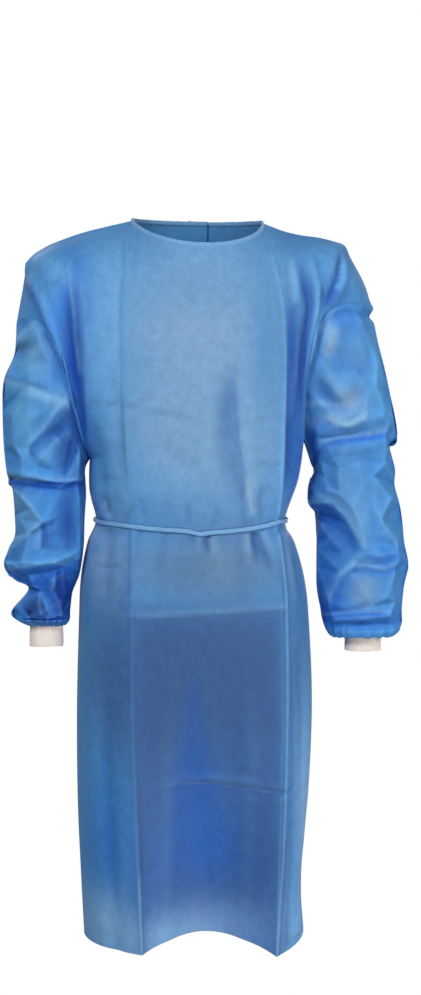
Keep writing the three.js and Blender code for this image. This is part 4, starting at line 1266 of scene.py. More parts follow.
FOLD_LIGHT = np.array([-0.45, -0.25, 0.86])  # direction of the light that is painted on the folds of the cloth
FOLD_PAINTED_LIGHT_STRENGTH = 0.55  # how strong that painted light and shade is
FOLD_PAINTED_LIGHT_LIMITS = (-0.42, 0.6)  # how much darker and how much lighter they can make it
FOLD_BLUR = 40  # passes that take the folds out of the way the cloth faces
HOLLOW_BLUR = (3, 26)  # passes that give a point's near and its wide surroundings
FULL_HOLLOW = 2.2  # how far these two lie apart in a full hollow, in millimetres
HOLLOW_SHADOW_SHARE = 0.26  # how much of the painted shadow a full hollow takes
RIDGE_HIGHLIGHT_SHARE = 0.24  # how much of the painted highlight a full ridge takes
PATCH_FACING = (-0.3, 0.3)  # how far cloth must face a side for its patches to start and to be whole
STROKE_FACING = (-0.3, 0.25)  # the same for its strokes of painted shade
SEAM_CALM = 0.75  # how much less of the painted light and shade of the folds shows at an armhole seam
SEAM_WIDTH = (1.6, 4)  # how strongly a seam counts, and the passes that widen it
LIGHT_ON_CLOTH = 1.23  # how much brighter the cloth is in the studio's light than its own colour


def linear(shade: Shade) -> np.ndarray:
    """A colour from its three values of 0 to 255, as a renderer counts it."""
    value = np.array(shade) / 255
    return np.where(value <= 0.04045, value / 12.92, ((value + 0.055) / 1.055) ** 2.4)


@dataclass(frozen=True)
class Tint:
    """A patch of tone and of painted light and shade: its middle, half sizes, shade, strength and turn.

    "square" is 2 for a soft round patch, and more for one with straight, sharper edges.
    """

    x: float
    z: float
    width: float
    height: float
    shade: Shade
    strength: float = 1.0
    turn: float = 0.0
    square: float = 2.0

    def weight(self, x: np.ndarray, z: np.ndarray) -> np.ndarray:
        """How strongly it shows at points of the cloth."""
        cos, sin = math.cos(math.radians(self.turn)), math.sin(math.radians(self.turn))
        dx, dz = x - self.x, z - self.z
        across = (dx * cos + dz * sin) / self.width
        down = (dz * cos - dx * sin) / self.height
        return self.strength * np.exp(-(np.abs(across) ** self.square + np.abs(down) ** self.square))


BASE_SHADE = (74, 142, 206)
# painted shadow for the hollows of the folds, and painted highlight for their ridges
HOLLOW_PAINTED_SHADOW = (14, 66, 160)
RIDGE_PAINTED_HIGHLIGHT = (118, 182, 230)
FRONT_TONE_AND_PAINTED_LIGHT_PATCHES = table(
    Tint,  # x, z, width, height, shade, strength, turn, square
    # chest: lighter and greyer where the cloth lies close, with painted shade and highlights of folds
    (0, -190, 130, 190, (126, 164, 198), 0.95),
    (-10, -120, 90, 50, (106, 154, 196), 0.8),
    (-20, -170, 74, 26, (128, 164, 198), 0.6, 4),
    (30, -350, 80, 90, (124, 164, 196), 0.8),
    (-60, -330, 60, 90, (124, 162, 196), 0.6),
    (30, -290, 14, 60, (88, 132, 180), 0.5, -4),
    (92, -200, 28, 110, (84, 140, 192), 0.85),
    (-150, -150, 26, 130, (100, 160, 212), 0.8),
    (-196, -130, 10, 80, (70, 122, 190), 0.6),
    (-197, -240, 16, 130, (8, 70, 180), 1.0, -4),
    (-176, -350, 16, 60, (44, 102, 196), 0.75, -6),
    (-226, -180, 14, 90, (66, 140, 228), 0.9, -18),
    (-148, -420, 20, 40, (88, 146, 200), 0.6),
    (-182, -400, 14, 60, (30, 92, 184), 0.75),
    (138, -225, 16, 110, (20, 72, 154), 0.95, 1),
    (138, -360, 14, 70, (40, 98, 190), 0.85),
    (130, -96, 8, 40, (122, 172, 216), 0.5, -4),
    (160, -100, 10, 50, (92, 150, 212), 0.5),
    (190, -80, 40, 50, (88, 148, 206), 0.6),
    (208, -112, 24, 20, (52, 108, 182), 0.8),
    (190, -124, 14, 16, (26, 82, 172), 0.7),
    (250, -100, 26, 40, (84, 148, 210), 0.6),
    (146, -370, 14, 60, (56, 112, 196), 0.8),
    # skirt: greyer and darker below the knee-high crease, a blue streak at the centre, paler at the hem
    # part of the darkening below the crease, and the dark bands beside the pressed creases, are painted
    # shade
    (0, -530, 150, 64, (85, 120, 156), 0.9),
    (36, -520, 40, 40, (110, 144, 172), 0.5),
    (-150, -520, 30, 70, (124, 166, 210), 0.9),
    (3, -848, 114, 262, (58, 95, 147), 0.9, 0.4, 24),
    (0, -690, 114, 100, (50, 84, 132), 0.6, 0, 4),
    (-60, -740, 44, 80, (56, 90, 138), 0.5),
    (66, -720, 44, 90, (54, 88, 138), 0.5),
    (-150, -680, 34, 120, (62, 98, 150), 0.8),
    (146, -660, 26, 130, (74, 118, 172), 0.85),
    (156, -900, 26, 150, (134, 180, 226), 0.9),
    (0, -950, 104, 110, (52, 92, 158), 0.7),
    (-23, -740, 12, 56, (38, 86, 160), 0.6),
    (-22, -800, 24, 50, (36, 88, 164), 0.7),
    (-17, -866, 40, 56, (34, 90, 172), 0.75, 0, 2.6),
    (-8, -940, 54, 56, (36, 94, 176), 0.75, 0, 2.6),
    (-128, -720, 20, 150, (50, 84, 140), 0.7),
    (-78, -760, 26, 110, (50, 82, 134), 0.5),
    (-104, -1010, 30, 46, (54, 102, 174), 0.7),
    (24, -1056, 84, 34, (104, 148, 204), 0.5),
    (52, -526, 16, 54, (74, 110, 158), 0.5),
    (-146, -940, 32, 110, (48, 114, 194), 0.9),
    (72, -930, 22, 120, (48, 84, 146), 0.75),
    (-70, -960, 22, 100, (62, 104, 170), 0.5),
    (-34, -1084, 96, 44, (128, 168, 210), 0.85),
    (80, -1084, 44, 36, (86, 130, 190), 0.7),
    (-84, -1074, 50, 26, (120, 166, 212), 0.7),
    (140, -1060, 30, 60, (118, 168, 218), 0.8),
    (-150, -1052, 38, 46, (128, 176, 218), 0.8),
)
BACK_TONE_AND_PAINTED_LIGHT_PATCHES = table(
    Tint,  # x, z, width, height, shade, strength, turn, square
    # paler upper back, painted shade in the troughs by the armholes, a darker skirt and a paler hem
    (-90, -180, 70, 110, (124, 168, 204), 0.8),
    (90, -170, 70, 110, (126, 168, 202), 0.8),
    (0, -330, 26, 120, (84, 134, 190), 0.6),
    (-190, -250, 18, 130, (38, 94, 190), 0.8),
    (158, -240, 16, 130, (48, 104, 192), 0.8),
    (0, -540, 150, 70, (90, 130, 172), 0.7),
    (0, -740, 150, 120, (68, 102, 154), 0.85),
    (-80, -900, 34, 110, (52, 104, 182), 0.7),
    (70, -880, 34, 120, (54, 106, 184), 0.7),
    (0, -960, 190, 110, (62, 112, 182), 0.6),
    (0, -1080, 190, 40, (112, 152, 196), 0.8),
)
SLEEVE_TONE_AND_PAINTED_LIGHT_PATCHES = table(
    Tint,  # x, z, width, height, shade, strength, turn, square
    # the sleeves' own blue, then painted light and painted shade on their facets and folds
    (-250, -400, 900, 900, (62, 136, 210), 0.9),
    (-250, -208, 26, 36, (118, 178, 222), 0.9),
    (-268, -300, 22, 50, (98, 166, 214), 0.8),
    (-218, -278, 34, 12, (132, 182, 220), 0.6, -14),
    (-218, -336, 18, 36, (30, 84, 160), 0.8, 30),
    (-200, -356, 18, 34, (26, 76, 162), 0.85),
    (-240, -362, 14, 14, (92, 148, 200), 0.6),
    (-240, -404, 60, 9, (18, 76, 186), 0.8),
    (-272, -450, 20, 50, (92, 152, 206), 0.6),
    (-202, -462, 16, 56, (14, 66, 150), 0.9),
    (-211, -319, 11, 13, (22, 76, 154), 0.85),
    (-222, -505, 40, 12, (74, 134, 198), 0.6),
    (-232, -556, 50, 22, (20, 78, 184), 0.85),
    (-210, -580, 22, 34, (10, 52, 146), 0.95),
    (-274, -590, 20, 16, (44, 110, 194), 0.7),
    (-236, -604, 34, 12, (14, 64, 160), 0.8),
    (-262, -566, 24, 14, (40, 106, 200), 0.6),
    (190, -176, 12, 36, (140, 178, 206), 0.7),
    (216, -165, 34, 20, (52, 118, 204), 0.6),
    (232, -212, 40, 40, (96, 150, 200), 0.6),
    (272, -240, 18, 80, (90, 168, 228), 0.7),
    (222, -278, 26, 20, (146, 178, 206), 0.8),
    (180, -250, 16, 30, (78, 132, 192), 0.6),
    (196, -306, 36, 10, (134, 176, 212), 0.6),
    (176, -320, 14, 26, (60, 116, 190), 0.6),
    (230, -330, 66, 9, (38, 108, 214), 0.75),
    (222, -380, 34, 50, (88, 144, 200), 0.7),
    (286, -370, 20, 60, (72, 144, 210), 0.6),
    (232, -440, 22, 40, (112, 164, 208), 0.6, 20),
    (200, -470, 26, 56, (34, 94, 180), 0.9),
    (280, -440, 24, 50, (80, 146, 208), 0.6),
    (290, -520, 30, 14, (38, 108, 214), 0.7),
    (246, -566, 22, 30, (122, 152, 184), 0.8),
    (284, -566, 26, 34, (76, 142, 206), 0.7),
    (196, -576, 20, 44, (30, 92, 190), 0.9),
    (194, -604, 18, 14, (16, 76, 176), 0.9),
    (240, -610, 70, 14, (40, 108, 206), 0.85),
)
TONE_AND_PAINTED_LIGHT_PATCHES: dict[tuple[Part, Face], tuple[Tint, ...]] = {
    (Part.BODY, Face.FRONT): FRONT_TONE_AND_PAINTED_LIGHT_PATCHES,
    (Part.BODY, Face.BACK): BACK_TONE_AND_PAINTED_LIGHT_PATCHES,
    **{(part, face): SLEEVE_TONE_AND_PAINTED_LIGHT_PATCHES for part in SLEEVES for face in Face},
}


CUT_EDGE = 2.4  # how far a stroke reaches over to its bare side
STROKE_FALL = 1.4  # how fast it falls off, as a power


@dataclass(frozen=True)
class PaintedCreaseShading:
    """Painted shading along a crease, clear-cut at the crease and fading away from it.

    "line" is its points, x and z in millimetres; "width" is how far the shade reaches; "side" is the
    side of the line that has it: 1 is right of a line that runs up, -1 is left, 0 is both.
    """

    line: Points
    shade: Shade
    strength: float
    width: float
    side: int = 0
    taper: tuple[float, float] = (0.12, 0.12)

    def weight(self, x: np.ndarray, z: np.ndarray) -> np.ndarray:
        """How strongly it shows at points of the cloth."""
        away, side, share = beside(self.line, x, z)
        reach = np.where((side == self.side) | (self.side == 0), self.width, CUT_EDGE)
        return self.strength * tapered(share, self.taper) * np.exp(-((away / reach) ** STROKE_FALL))


FRONT_PAINTED_CREASE_SHADING = table(
    PaintedCreaseShading,  # line, shade, strength, width, side, taper
    # painted shade in the trough by the left armhole, painted highlight on the ridge that the shoulder pulls
    # up
    (((-196, -76), (-195, -132), (-189, -193), (-183, -249), (-176, -330), (-172, -390)), (12, 70, 172),
     0.8, 19, 1, (0.35, 0.3)),
    (((-266, -84), (-245, -123), (-224, -174), (-200, -263), (-186, -338)), (86, 156, 230), 0.7, 5, 0),
    (((-272, -84), (-252, -130), (-230, -186), (-208, -252)), (20, 76, 168), 0.8, 4, 0),
    (((-203, -60), (-201, -100), (-193, -190), (-185, -250)), (112, 170, 216), 0.55, 4, -1),
    (((-236, -60), (-214, -80), (-206, -112)), (110, 168, 220), 0.5, 8, 1),
    # painted shade and highlight along the pressed creases of the chest
    (((-118, -34), (-128, -150), (-127, -208), (-122, -330), (-111, -445)), (76, 128, 180), 0.6, 2.6, 0,
     INTO_TIE),
    (((-124, -34), (-133, -150), (-132, -208), (-127, -330), (-116, -445)), (124, 174, 212), 0.35, 9, 1,
     INTO_TIE),
    (((103, -46), (116, -124), (120, -211), (117, -330), (113, -452)), (132, 176, 214), 0.3, 2.6, 0,
     INTO_TIE),
    (((-187, -281), (-114, -290), (-60, -302), (-10, -306)), (84, 132, 182), 0.55, 2.6),
    (((-179, -391), (-118, -398)), (84, 132, 182), 0.6, 2.6),
    (((74, -374), (115, -374)), (84, 132, 182), 0.6, 2.6),
    (((-160, -526), (-122, -527)), (80, 118, 166), 0.35, 2.6),
    (((-12, -400), (30, -398), (70, -404)), (104, 146, 190), 0.4, 3),
    # painted shade and highlight along the narrow folds from the right shoulder
    (((121, -90), (124, -150), (124, -210), (122, -300), (119, -440)), (20, 72, 160), 0.7, 15, -1,
     (0.3, 0.2)),
    (((133, -58), (137, -100), (136, -136)), (128, 178, 222), 0.6, 3.4),
    (((146, -56), (158, -136), (150, -221), (148, -320)), (32, 84, 172), 0.75, 7, 0, (0.25, 0.3)),
    (((160, -50), (170, -110), (163, -200)), (98, 156, 216), 0.5, 6, -1),
    (((214, -44), (206, -92), (192, -120), (180, -142)), (36, 94, 178), 0.7, 7, 1),
    (((218, -46), (210, -92), (200, -112)), (110, 168, 220), 0.5, 6, -1),
    (((243, -134), (258, -141)), (30, 96, 196), 0.8, 4),
    # painted shade in the soft valley of the chest, with a painted highlight on the strip beside it
    (((40, -222), (43, -280), (46, -338), (56, -392), (62, -440)), (74, 121, 177), 0.78, 27, 1,
     (0.3, 0.12)),
    (((58, -380), (60, -420), (70, -455)), (150, 180, 204), 0.6, 12, -1, (0.3, 0.1)),
    (((100, -376), (88, -410), (74, -440)), (84, 132, 186), 0.4, 7, 0),
    # painted shade and highlight along the gathers at the tie
    (((1, -482), (4, -514)), (50, 84, 140), 0.75, 4.5, 0, FROM_TIE),
    (((8, -484), (12, -520)), (134, 164, 194), 0.5, 5, 0, FROM_TIE),
    (((-22, -478), (-16, -500)), (62, 98, 150), 0.5, 4, 0, FROM_TIE),
    (((70, -476), (79, -534)), (56, 92, 150), 0.75, 5, 0, FROM_TIE),
    (((62, -478), (62, -530)), (132, 162, 194), 0.4, 6, 0, FROM_TIE),
    (((78, -476), (100, -546)), (58, 94, 152), 0.7, 5, 0, FROM_TIE),
    (((88, -474), (108, -520)), (122, 158, 196), 0.5, 5, 0, FROM_TIE),
    (((54, -440), (61, -468)), (72, 116, 168), 0.6, 4, 0, (0.5, 0.02)),
    (((84, -430), (84, -464)), (76, 122, 176), 0.6, 4, 0, (0.5, 0.02)),
    (((-168, -420), (-158, -440), (-146, -462)), (54, 112, 186), 0.7, 5, 0, (0.4, 0.02)),
    (((-150, -424), (-140, -458)), (128, 172, 210), 0.5, 4, 0, (0.4, 0.02)),
    (((-140, -470), (-146, -540), (-150, -600)), (74, 112, 166), 0.35, 8, 0, FROM_SEAM),
    (((122, -470), (130, -540), (134, -600)), (132, 166, 204), 0.4, 5, 0, FROM_SEAM),
    # painted shade and highlight along the creases of the skirt
    (((-111, -470), (-114, -601)), (56, 100, 166), 0.6, 2.6, 0, WHOLE),
    (((-114, -601), (-112, -760), (-104, -920), (-99, -1100)), (48, 82, 136), 0.65, 4, 0, WHOLE),
    (((-103, -960), (-99, -1100)), (126, 168, 210), 0.5, 2.6, 0, (0.3, 0)),
    (((-111, -600), (-109, -760), (-101, -920), (-96, -1100)), (50, 82, 138), 0.35, 9, -1, (0.1, 0)),
    (((112, -478), (119, -560), (120, -700), (117, -840), (112, -950), (100, -1105)), (112, 158, 208), 0.6,
     2.4, 0, WHOLE),
    (((126, -620), (126, -760), (123, -900), (116, -1000)), (62, 98, 156), 0.5, 7, -1, (0.2, 0.3)),
    (((109, -478), (116, -560), (117, -700), (114, -840), (109, -950), (97, -1105)), (44, 76, 134), 0.4, 7,
     1, (0.1, 0)),
    (((-108, -600), (-8, -595), (122, -588)), (104, 146, 190), 0.4, 8, -1, CUT_OFF),
    (((-75, -851), (-38, -845), (15, -848), (67, -856), (116, -863)), (110, 150, 200), 0.4, 5, -1),
    (((-75, -853), (-38, -847), (15, -850), (67, -858), (116, -865)), (26, 62, 128), 0.5, 5, 1),
)
SLEEVE_PAINTED_CREASE_SHADING = table(
    PaintedCreaseShading,  # line, shade, strength, width, side, taper
    # left sleeve, from the top: painted shade and highlight along its creases
    (((-244, -163), (-227, -200), (-206, -250), (-194, -299), (-185, -337)), (22, 68, 156), 0.7, 4),
    (((-246, -174), (-228, -216), (-209, -254)), (50, 110, 190), 0.55, 14, 1),
    (((-282, -184), (-262, -172), (-246, -160)), (118, 174, 220), 0.4, 4),
    (((-264, -180), (-280, -214), (-296, -246)), (116, 176, 222), 0.45, 5, 1),
    (((-297, -246), (-263, -256), (-230, -272), (-204, -280)), (134, 188, 226), 0.65, 8, 1, CUT_OFF),
    (((-297, -244), (-263, -254), (-230, -270), (-204, -278)), (62, 124, 198), 0.45, 7, -1, (0.1, 0.1)),
    (((-204, -282), (-222, -298), (-239, -323), (-260, -344), (-263, -361)), (122, 180, 222), 0.6, 8, 1),
    (((-203, -284), (-221, -301), (-238, -326), (-258, -347), (-258, -368)), (40, 94, 170), 0.7, 17, -1),
    (((-236, -372), (-232, -352), (-216, -334)), (98, 158, 212), 0.55, 6),
    (((-202, -286), (-193, -316), (-189, -344), (-191, -362)), (26, 74, 152), 0.8, 10, 1),
    (((-189, -362), (-199, -378), (-209, -394)), (30, 78, 156), 0.7, 8, 1),
    (((-186, -358), (-194, -374), (-204, -396)), (84, 146, 212), 0.6, 5, -1),
    (((-292, -394), (-258, -398), (-227, -399), (-192, -398), (-176, -396)), (116, 174, 226), 0.55, 6, -1,
     CUT_OFF),
    (((-291, -397), (-258, -402), (-227, -404), (-192, -402), (-176, -400)), (24, 78, 178), 0.8, 8, 1,
     CUT_OFF),
    (((-287, -408), (-265, -430), (-244, -457)), (118, 178, 226), 0.5, 15, 1),
    (((-244, -457), (-263, -482), (-286, -501), (-294, -518)), (112, 172, 222), 0.5, 12, 1, FROM_EDGE),
    (((-248, -464), (-264, -486), (-284, -503), (-292, -520)), (46, 108, 190), 0.5, 10, -1),
    (((-243, -457), (-241, -478), (-242, -503)), (16, 62, 148), 0.7, 18, -1),
    (((-246, -457), (-244, -478), (-245, -503)), (112, 170, 220), 0.45, 12, 1),
    (((-292, -532), (-258, -526), (-227, -521), (-204, -526), (-181, -512)), (98, 160, 218), 0.6, 7, -1,
     CUT_OFF),
    (((-290, -536), (-258, -530), (-227, -525), (-204, -530), (-181, -516)), (38, 100, 200), 0.75, 13, 1,
     CUT_OFF),
    (((-222, -530), (-224, -552), (-230, -566)), (72, 134, 206), 0.6, 4),
    (((-219, -530), (-220, -560), (-214, -600)), (10, 48, 136), 0.8, 20, -1),
    (((-282, -588), (-262, -575), (-243, -568), (-232, -592), (-229, -606)), (78, 142, 214), 0.6, 4),
    (((-264, -600), (-250, -588), (-238, -582)), (0, 32, 112), 0.95, 13),
    # right sleeve, from the top: painted shade and highlight along its creases
    (((180, -141), (170, -171), (164, -209), (154, -265), (154, -303), (159, -345)), (22, 66, 158), 0.6, 5,
     1),
    (((171, -162), (192, -148), (214, -139), (246, -142)), (44, 104, 194), 0.5, 6, 1),
    (((200, -162), (195, -185), (185, -212)), (150, 186, 212), 0.6, 6),
    (((178, -242), (197, -230), (214, -224), (233, -228), (249, -238)), (56, 112, 188), 0.5, 5),
    (((176, -170), (172, -205), (166, -240)), (52, 112, 190), 0.5, 10, -1),
    (((179, -240), (197, -258), (215, -283)), (48, 106, 184), 0.6, 9, 1),
    (((179, -238), (199, -258), (218, -283)), (140, 182, 216), 0.45, 8, -1),
    (((155, -277), (185, -280), (214, -284)), (136, 182, 220), 0.6, 5, 1),
    (((183, -298), (202, -312), (226, -316), (247, -303), (252, -288)), (158, 190, 214), 0.65, 7, -1),
    (((186, -303), (203, -318), (228, -322), (252, -306)), (66, 126, 196), 0.5, 8, 1),
    (((180, -343), (211, -333), (249, -329), (290, -322)), (138, 188, 226), 0.5, 8, -1, CUT_OFF),
    (((180, -347), (211, -337), (249, -333), (290, -326)), (40, 104, 204), 0.55, 9, 1, CUT_OFF),
    (((182, -347), (183, -366), (172, -384)), (36, 94, 186), 0.7, 8, 1),
    (((159, -426), (176, -433), (200, -430), (221, -457), (247, -509)), (124, 176, 216), 0.55, 12, -1),
    (((160, -430), (176, -437), (199, -435), (219, -461), (245, -512)), (38, 96, 184), 0.6, 26, 1),
    (((247, -509), (224, -530), (200, -560), (190, -584)), (104, 162, 216), 0.55, 6),
    (((264, -396), (262, -440), (284, -472), (306, -504)), (104, 164, 216), 0.4, 6, -1),
    (((198, -553), (224, -531), (247, -526), (278, -534), (314, -523)), (120, 174, 222), 0.55, 5, -1),
    (((200, -556), (224, -535), (247, -530), (278, -538), (314, -527)), (44, 104, 186), 0.6, 9, 1),
    (((214, -540), (212, -570), (208, -596)), (40, 98, 184), 0.5, 12, 1),
    (((188, -606), (214, -600), (254, -598), (290, -600)), (104, 162, 216), 0.5, 4, -1, CUT_OFF),
    (((188, -609), (214, -603), (254, -601), (290, -603)), (34, 92, 186), 0.7, 9, 1, CUT_OFF),
)
FOLD_PAINTED_SHADOW_AND_HIGHLIGHT = ((30, 82, 172), (112, 170, 220))  # painted shadow of a trough and painted highlight of a ridge
LEAST_SHADE = 0.2  # how strong the painted shade of the lowest fold is
FULL_SHADE = 14.0  # height over which it grows to its whole strength
SHADE_WIDTH = 0.6  # how far it reaches, as a share of the fold's width
BODY_SHADE = 0.36  # the most on the back
SLEEVE_SHADE = 0.7  # the most behind a sleeve


def painted_shading_of_folds(folds: tuple[Fold, ...], most: float) -> tuple[PaintedCreaseShading, ...]:
    """Strokes that follow some folds: painted shade along troughs and painted highlight along ridges, "most"
    strong at most.
    """
    return tuple(
        PaintedCreaseShading(fold.line, FOLD_PAINTED_SHADOW_AND_HIGHLIGHT[fold.height > 0],
               min(abs(fold.height) / FULL_SHADE + LEAST_SHADE, most), SHADE_WIDTH * fold.width)
        for fold in folds
    )


PAINTED_CREASE_SHADING: dict[tuple[Part, Face], tuple[PaintedCreaseShading, ...]] = {
    (Part.BODY, Face.FRONT): FRONT_PAINTED_CREASE_SHADING,
    (Part.BODY, Face.BACK): painted_shading_of_folds(BACK_FOLDS, BODY_SHADE),
    (Part.LEFT_SLEEVE, Face.FRONT): SLEEVE_PAINTED_CREASE_SHADING,
    (Part.LEFT_SLEEVE, Face.BACK): painted_shading_of_folds(LEFT_BACK_FOLDS, SLEEVE_SHADE),
    (Part.RIGHT_SLEEVE, Face.FRONT): SLEEVE_PAINTED_CREASE_SHADING,
    (Part.RIGHT_SLEEVE, Face.BACK): painted_shading_of_folds(RIGHT_BACK_FOLDS, SLEEVE_SHADE),
}


class ToneAndLightPainting:
    """Gives the cloth its uneven colour together with painted light and shade of its folds, as an attribute
    of its points.
    """

    def __init__(self, surface: Surface, masks: dict[Part, np.ndarray]) -> None:
        """Measures the surface, and starts with an even colour.

        Args:
            surface: The folded surface.
            masks: How far each point belongs to each part.
        """
        self.surface = surface
        self.masks = masks
        self.places, self.normals = surface.sewing.places(), surface.sewing.normals()
        self.colour = np.tile(linear(BASE_SHADE), (surface.count, 1))

    def paint(self) -> None:
        """Writes the colours, with painted light and shade in the patches, the strokes, the hollows and the
        folds.
        """
        self.lay_marks(TONE_AND_PAINTED_LIGHT_PATCHES, PATCH_FACING)
        self.lay_marks(PAINTED_CREASE_SHADING, STROKE_FACING)
        calm = self.calm()
        hollow = self.hollow() * calm
        # painted shadow in the hollows and painted highlight on the ridges
        self.lay(HOLLOW_PAINTED_SHADOW, np.clip(hollow, 0, 1) * HOLLOW_SHADOW_SHARE)
        self.lay(RIDGE_PAINTED_HIGHLIGHT, np.clip(-hollow, 0, 1) * RIDGE_HIGHLIGHT_SHARE)
        # painted light and shade by how each fold faces FOLD_LIGHT
        self.colour *= 1 + np.clip(self.painted_fold_light() * calm, *FOLD_PAINTED_LIGHT_LIMITS)[:, None]
        self.colour /= LIGHT_ON_CLOTH
        layer = self.surface.sewing.mesh.color_attributes.new(PAINTED_TONE_AND_LIGHT, "FLOAT_COLOR", "POINT")
        layer.data.foreach_set("color", np.hstack([self.colour, np.ones((len(self.colour), 1))]).ravel())

    def lay(self, shade: Shade, weight: np.ndarray, near: np.ndarray | slice = slice(None)) -> None:
        """Draws the colour of some points towards a shade."""
        self.colour[near] += (linear(shade) - self.colour[near]) * weight[:, None]

    def lay_marks(self, marks: dict[tuple[Part, Face], Sequence[Tint | PaintedCreaseShading]],
                  facing: tuple[float, float]) -> None:
        """Lays patches or strokes on the cloth.

        Args:
            marks: The marks of each part and side.
            facing: How far cloth must face a side for its marks to start and to be whole.
        """
        x, z = self.places[:, 0] / MM, self.places[:, 2] / MM
        for (part, face), group in marks.items():
            share = fade(face.value * self.normals[:, 1], *facing) * self.masks[part]
            near = np.flatnonzero(share > LEAST_SHARE)
            for mark in group:
                self.lay(mark.shade, mark.weight(x[near], z[near]) * share[near], near)

    def calm(self) -> np.ndarray:
        """How much of the painted light and shade of the folds shows at each point: less at the armhole
        seams.
        """
        strength, passes = SEAM_WIDTH
        body = self.masks[Part.BODY]
        seam = self.surface.soften(4 * body * (1 - body), passes)
        return 1 - SEAM_CALM * np.clip(strength * seam, 0, 1)

    def painted_fold_light(self) -> np.ndarray:
        """Painted light and shade: how much lighter the cloth is made where a fold turns up to the light,
        and darker where down.
        """
        unfolded = self.surface.soften(self.normals, FOLD_BLUR)
        return FOLD_PAINTED_LIGHT_STRENGTH * (self.normals - unit(unfolded)) @ FOLD_LIGHT

    def hollow(self) -> np.ndarray:
        """How hollow the cloth is at each point: more than 0 in a valley, less on a ridge."""
        near, wide = (self.surface.soften(self.places, passes) for passes in HOLLOW_BLUR)
        return ((wide - near) * self.normals).sum(axis=1) / (FULL_HOLLOW * MM)


# ---- finishes ---------------------------------------------------------------------------------------


NOISE_SPAN = (0.3, 0.7)  # most of a noise's values lie in here


def shader(name: str) -> tuple[bpy.types.Material, bpy.types.NodeTree, bpy.types.Node]:
    """A new material with its node tree and its shader node."""
    material = bpy.data.materials.new(name)
    material.use_nodes = True
    tree = material.node_tree
    return material, tree, tree.nodes["Principled BSDF"]


class Nodes:
    """Adds nodes to a material, each linked to what it reads."""

    def __init__(self, tree: bpy.types.NodeTree) -> None:
        """Starts on a node tree."""
        self.tree = tree

    def link(self, output: Socket, node: bpy.types.Node, name: str | int) -> None:
        """Links an output to a node's input."""
        self.tree.links.new(output, node.inputs[name])

    def flat_map(self, name: str) -> Socket:
        """Places on the flat cloth, in metres."""
        node = self.tree.nodes.new("ShaderNodeUVMap")
        node.uv_map = name
        return node.outputs["UV"]

    def attribute(self, name: str) -> Socket:
        """A colour attribute of the points."""
        node = self.tree.nodes.new("ShaderNodeVertexColor")
        node.layer_name = name
        return node.outputs["Color"]

    def stretched(self, places: Socket, scale: tuple[float, float, float], turn: float = 0.0) -> Socket:
        """Places that are scaled unevenly and turned."""
        node = self.tree.nodes.new("ShaderNodeMapping")
        node.inputs["Rotation"].default_value = (0, 0, math.radians(turn))
        node.inputs["Scale"].default_value = scale
        self.link(places, node, "Vector")
        return node.outputs["Vector"]

    def noise(self, places: Socket, scale: float = 1.0, detail: float = 2.0,
              roughness: float = 0.5) -> Socket:
        """Soft uneven values from 0 to 1, about 0.5."""
        node = self.tree.nodes.new("ShaderNodeTexNoise")
        node.inputs["Scale"].default_value = scale
        node.inputs["Detail"].default_value = detail
        node.inputs["Roughness"].default_value = roughness
        self.link(places, node, "Vector")
        return node.outputs["Fac"]

    def cells(self, places: Socket, scale: float, randomness: float = 1.0) -> Socket:
        """Distance from the nearest of some scattered points."""
        node = self.tree.nodes.new("ShaderNodeTexVoronoi")
        node.inputs["Scale"].default_value = scale
        node.inputs["Randomness"].default_value = randomness
        self.link(places, node, "Vector")
        return node.outputs["Distance"]

    def ranged(self, value: Socket, source: tuple[float, float],
               result: tuple[float, float]) -> Socket:
        """A value carried from one range to another."""
        node = self.tree.nodes.new("ShaderNodeMapRange")
        node.inputs["From Min"].default_value, node.inputs["From Max"].default_value = source
        node.inputs["To Min"].default_value, node.inputs["To Max"].default_value = result
        self.link(value, node, "Value")
        return node.outputs["Result"]

    def math(self, operation: str, a: Socket, b: Socket | float) -> Socket:
        """Two values in a sum, a product or the like."""
        node = self.tree.nodes.new("ShaderNodeMath")
        node.operation = operation
        self.link(a, node, 0)
        if isinstance(b, (int, float)):
            node.inputs[1].default_value = b
        else:
            self.link(b, node, 1)
        return node.outputs["Value"]

    def shaded(self, colour: Socket | Shade, value: Socket) -> Socket:
        """A colour made lighter or darker by a value about 1."""
        node = self.tree.nodes.new("ShaderNodeVectorMath")
        node.operation = "SCALE"
        if isinstance(colour, tuple):
            node.inputs[0].default_value = linear(colour) / LIGHT_ON_CLOTH
        else:
            self.link(colour, node, 0)
        self.link(value, node, "Scale")
        return node.outputs["Vector"]

    def bump(self, height: Socket, distance: float, strength: float = 1.0,
             under: Socket | None = None) -> Socket:
        """A normal that follows a height of 0 to 1, over another normal."""
        node = self.tree.nodes.new("ShaderNodeBump")
        node.inputs["Strength"].default_value = strength
        node.inputs["Distance"].default_value = distance
        self.link(height, node, "Height")
        if under is not None:
            self.link(under, node, "Normal")
        return node.outputs["Normal"]


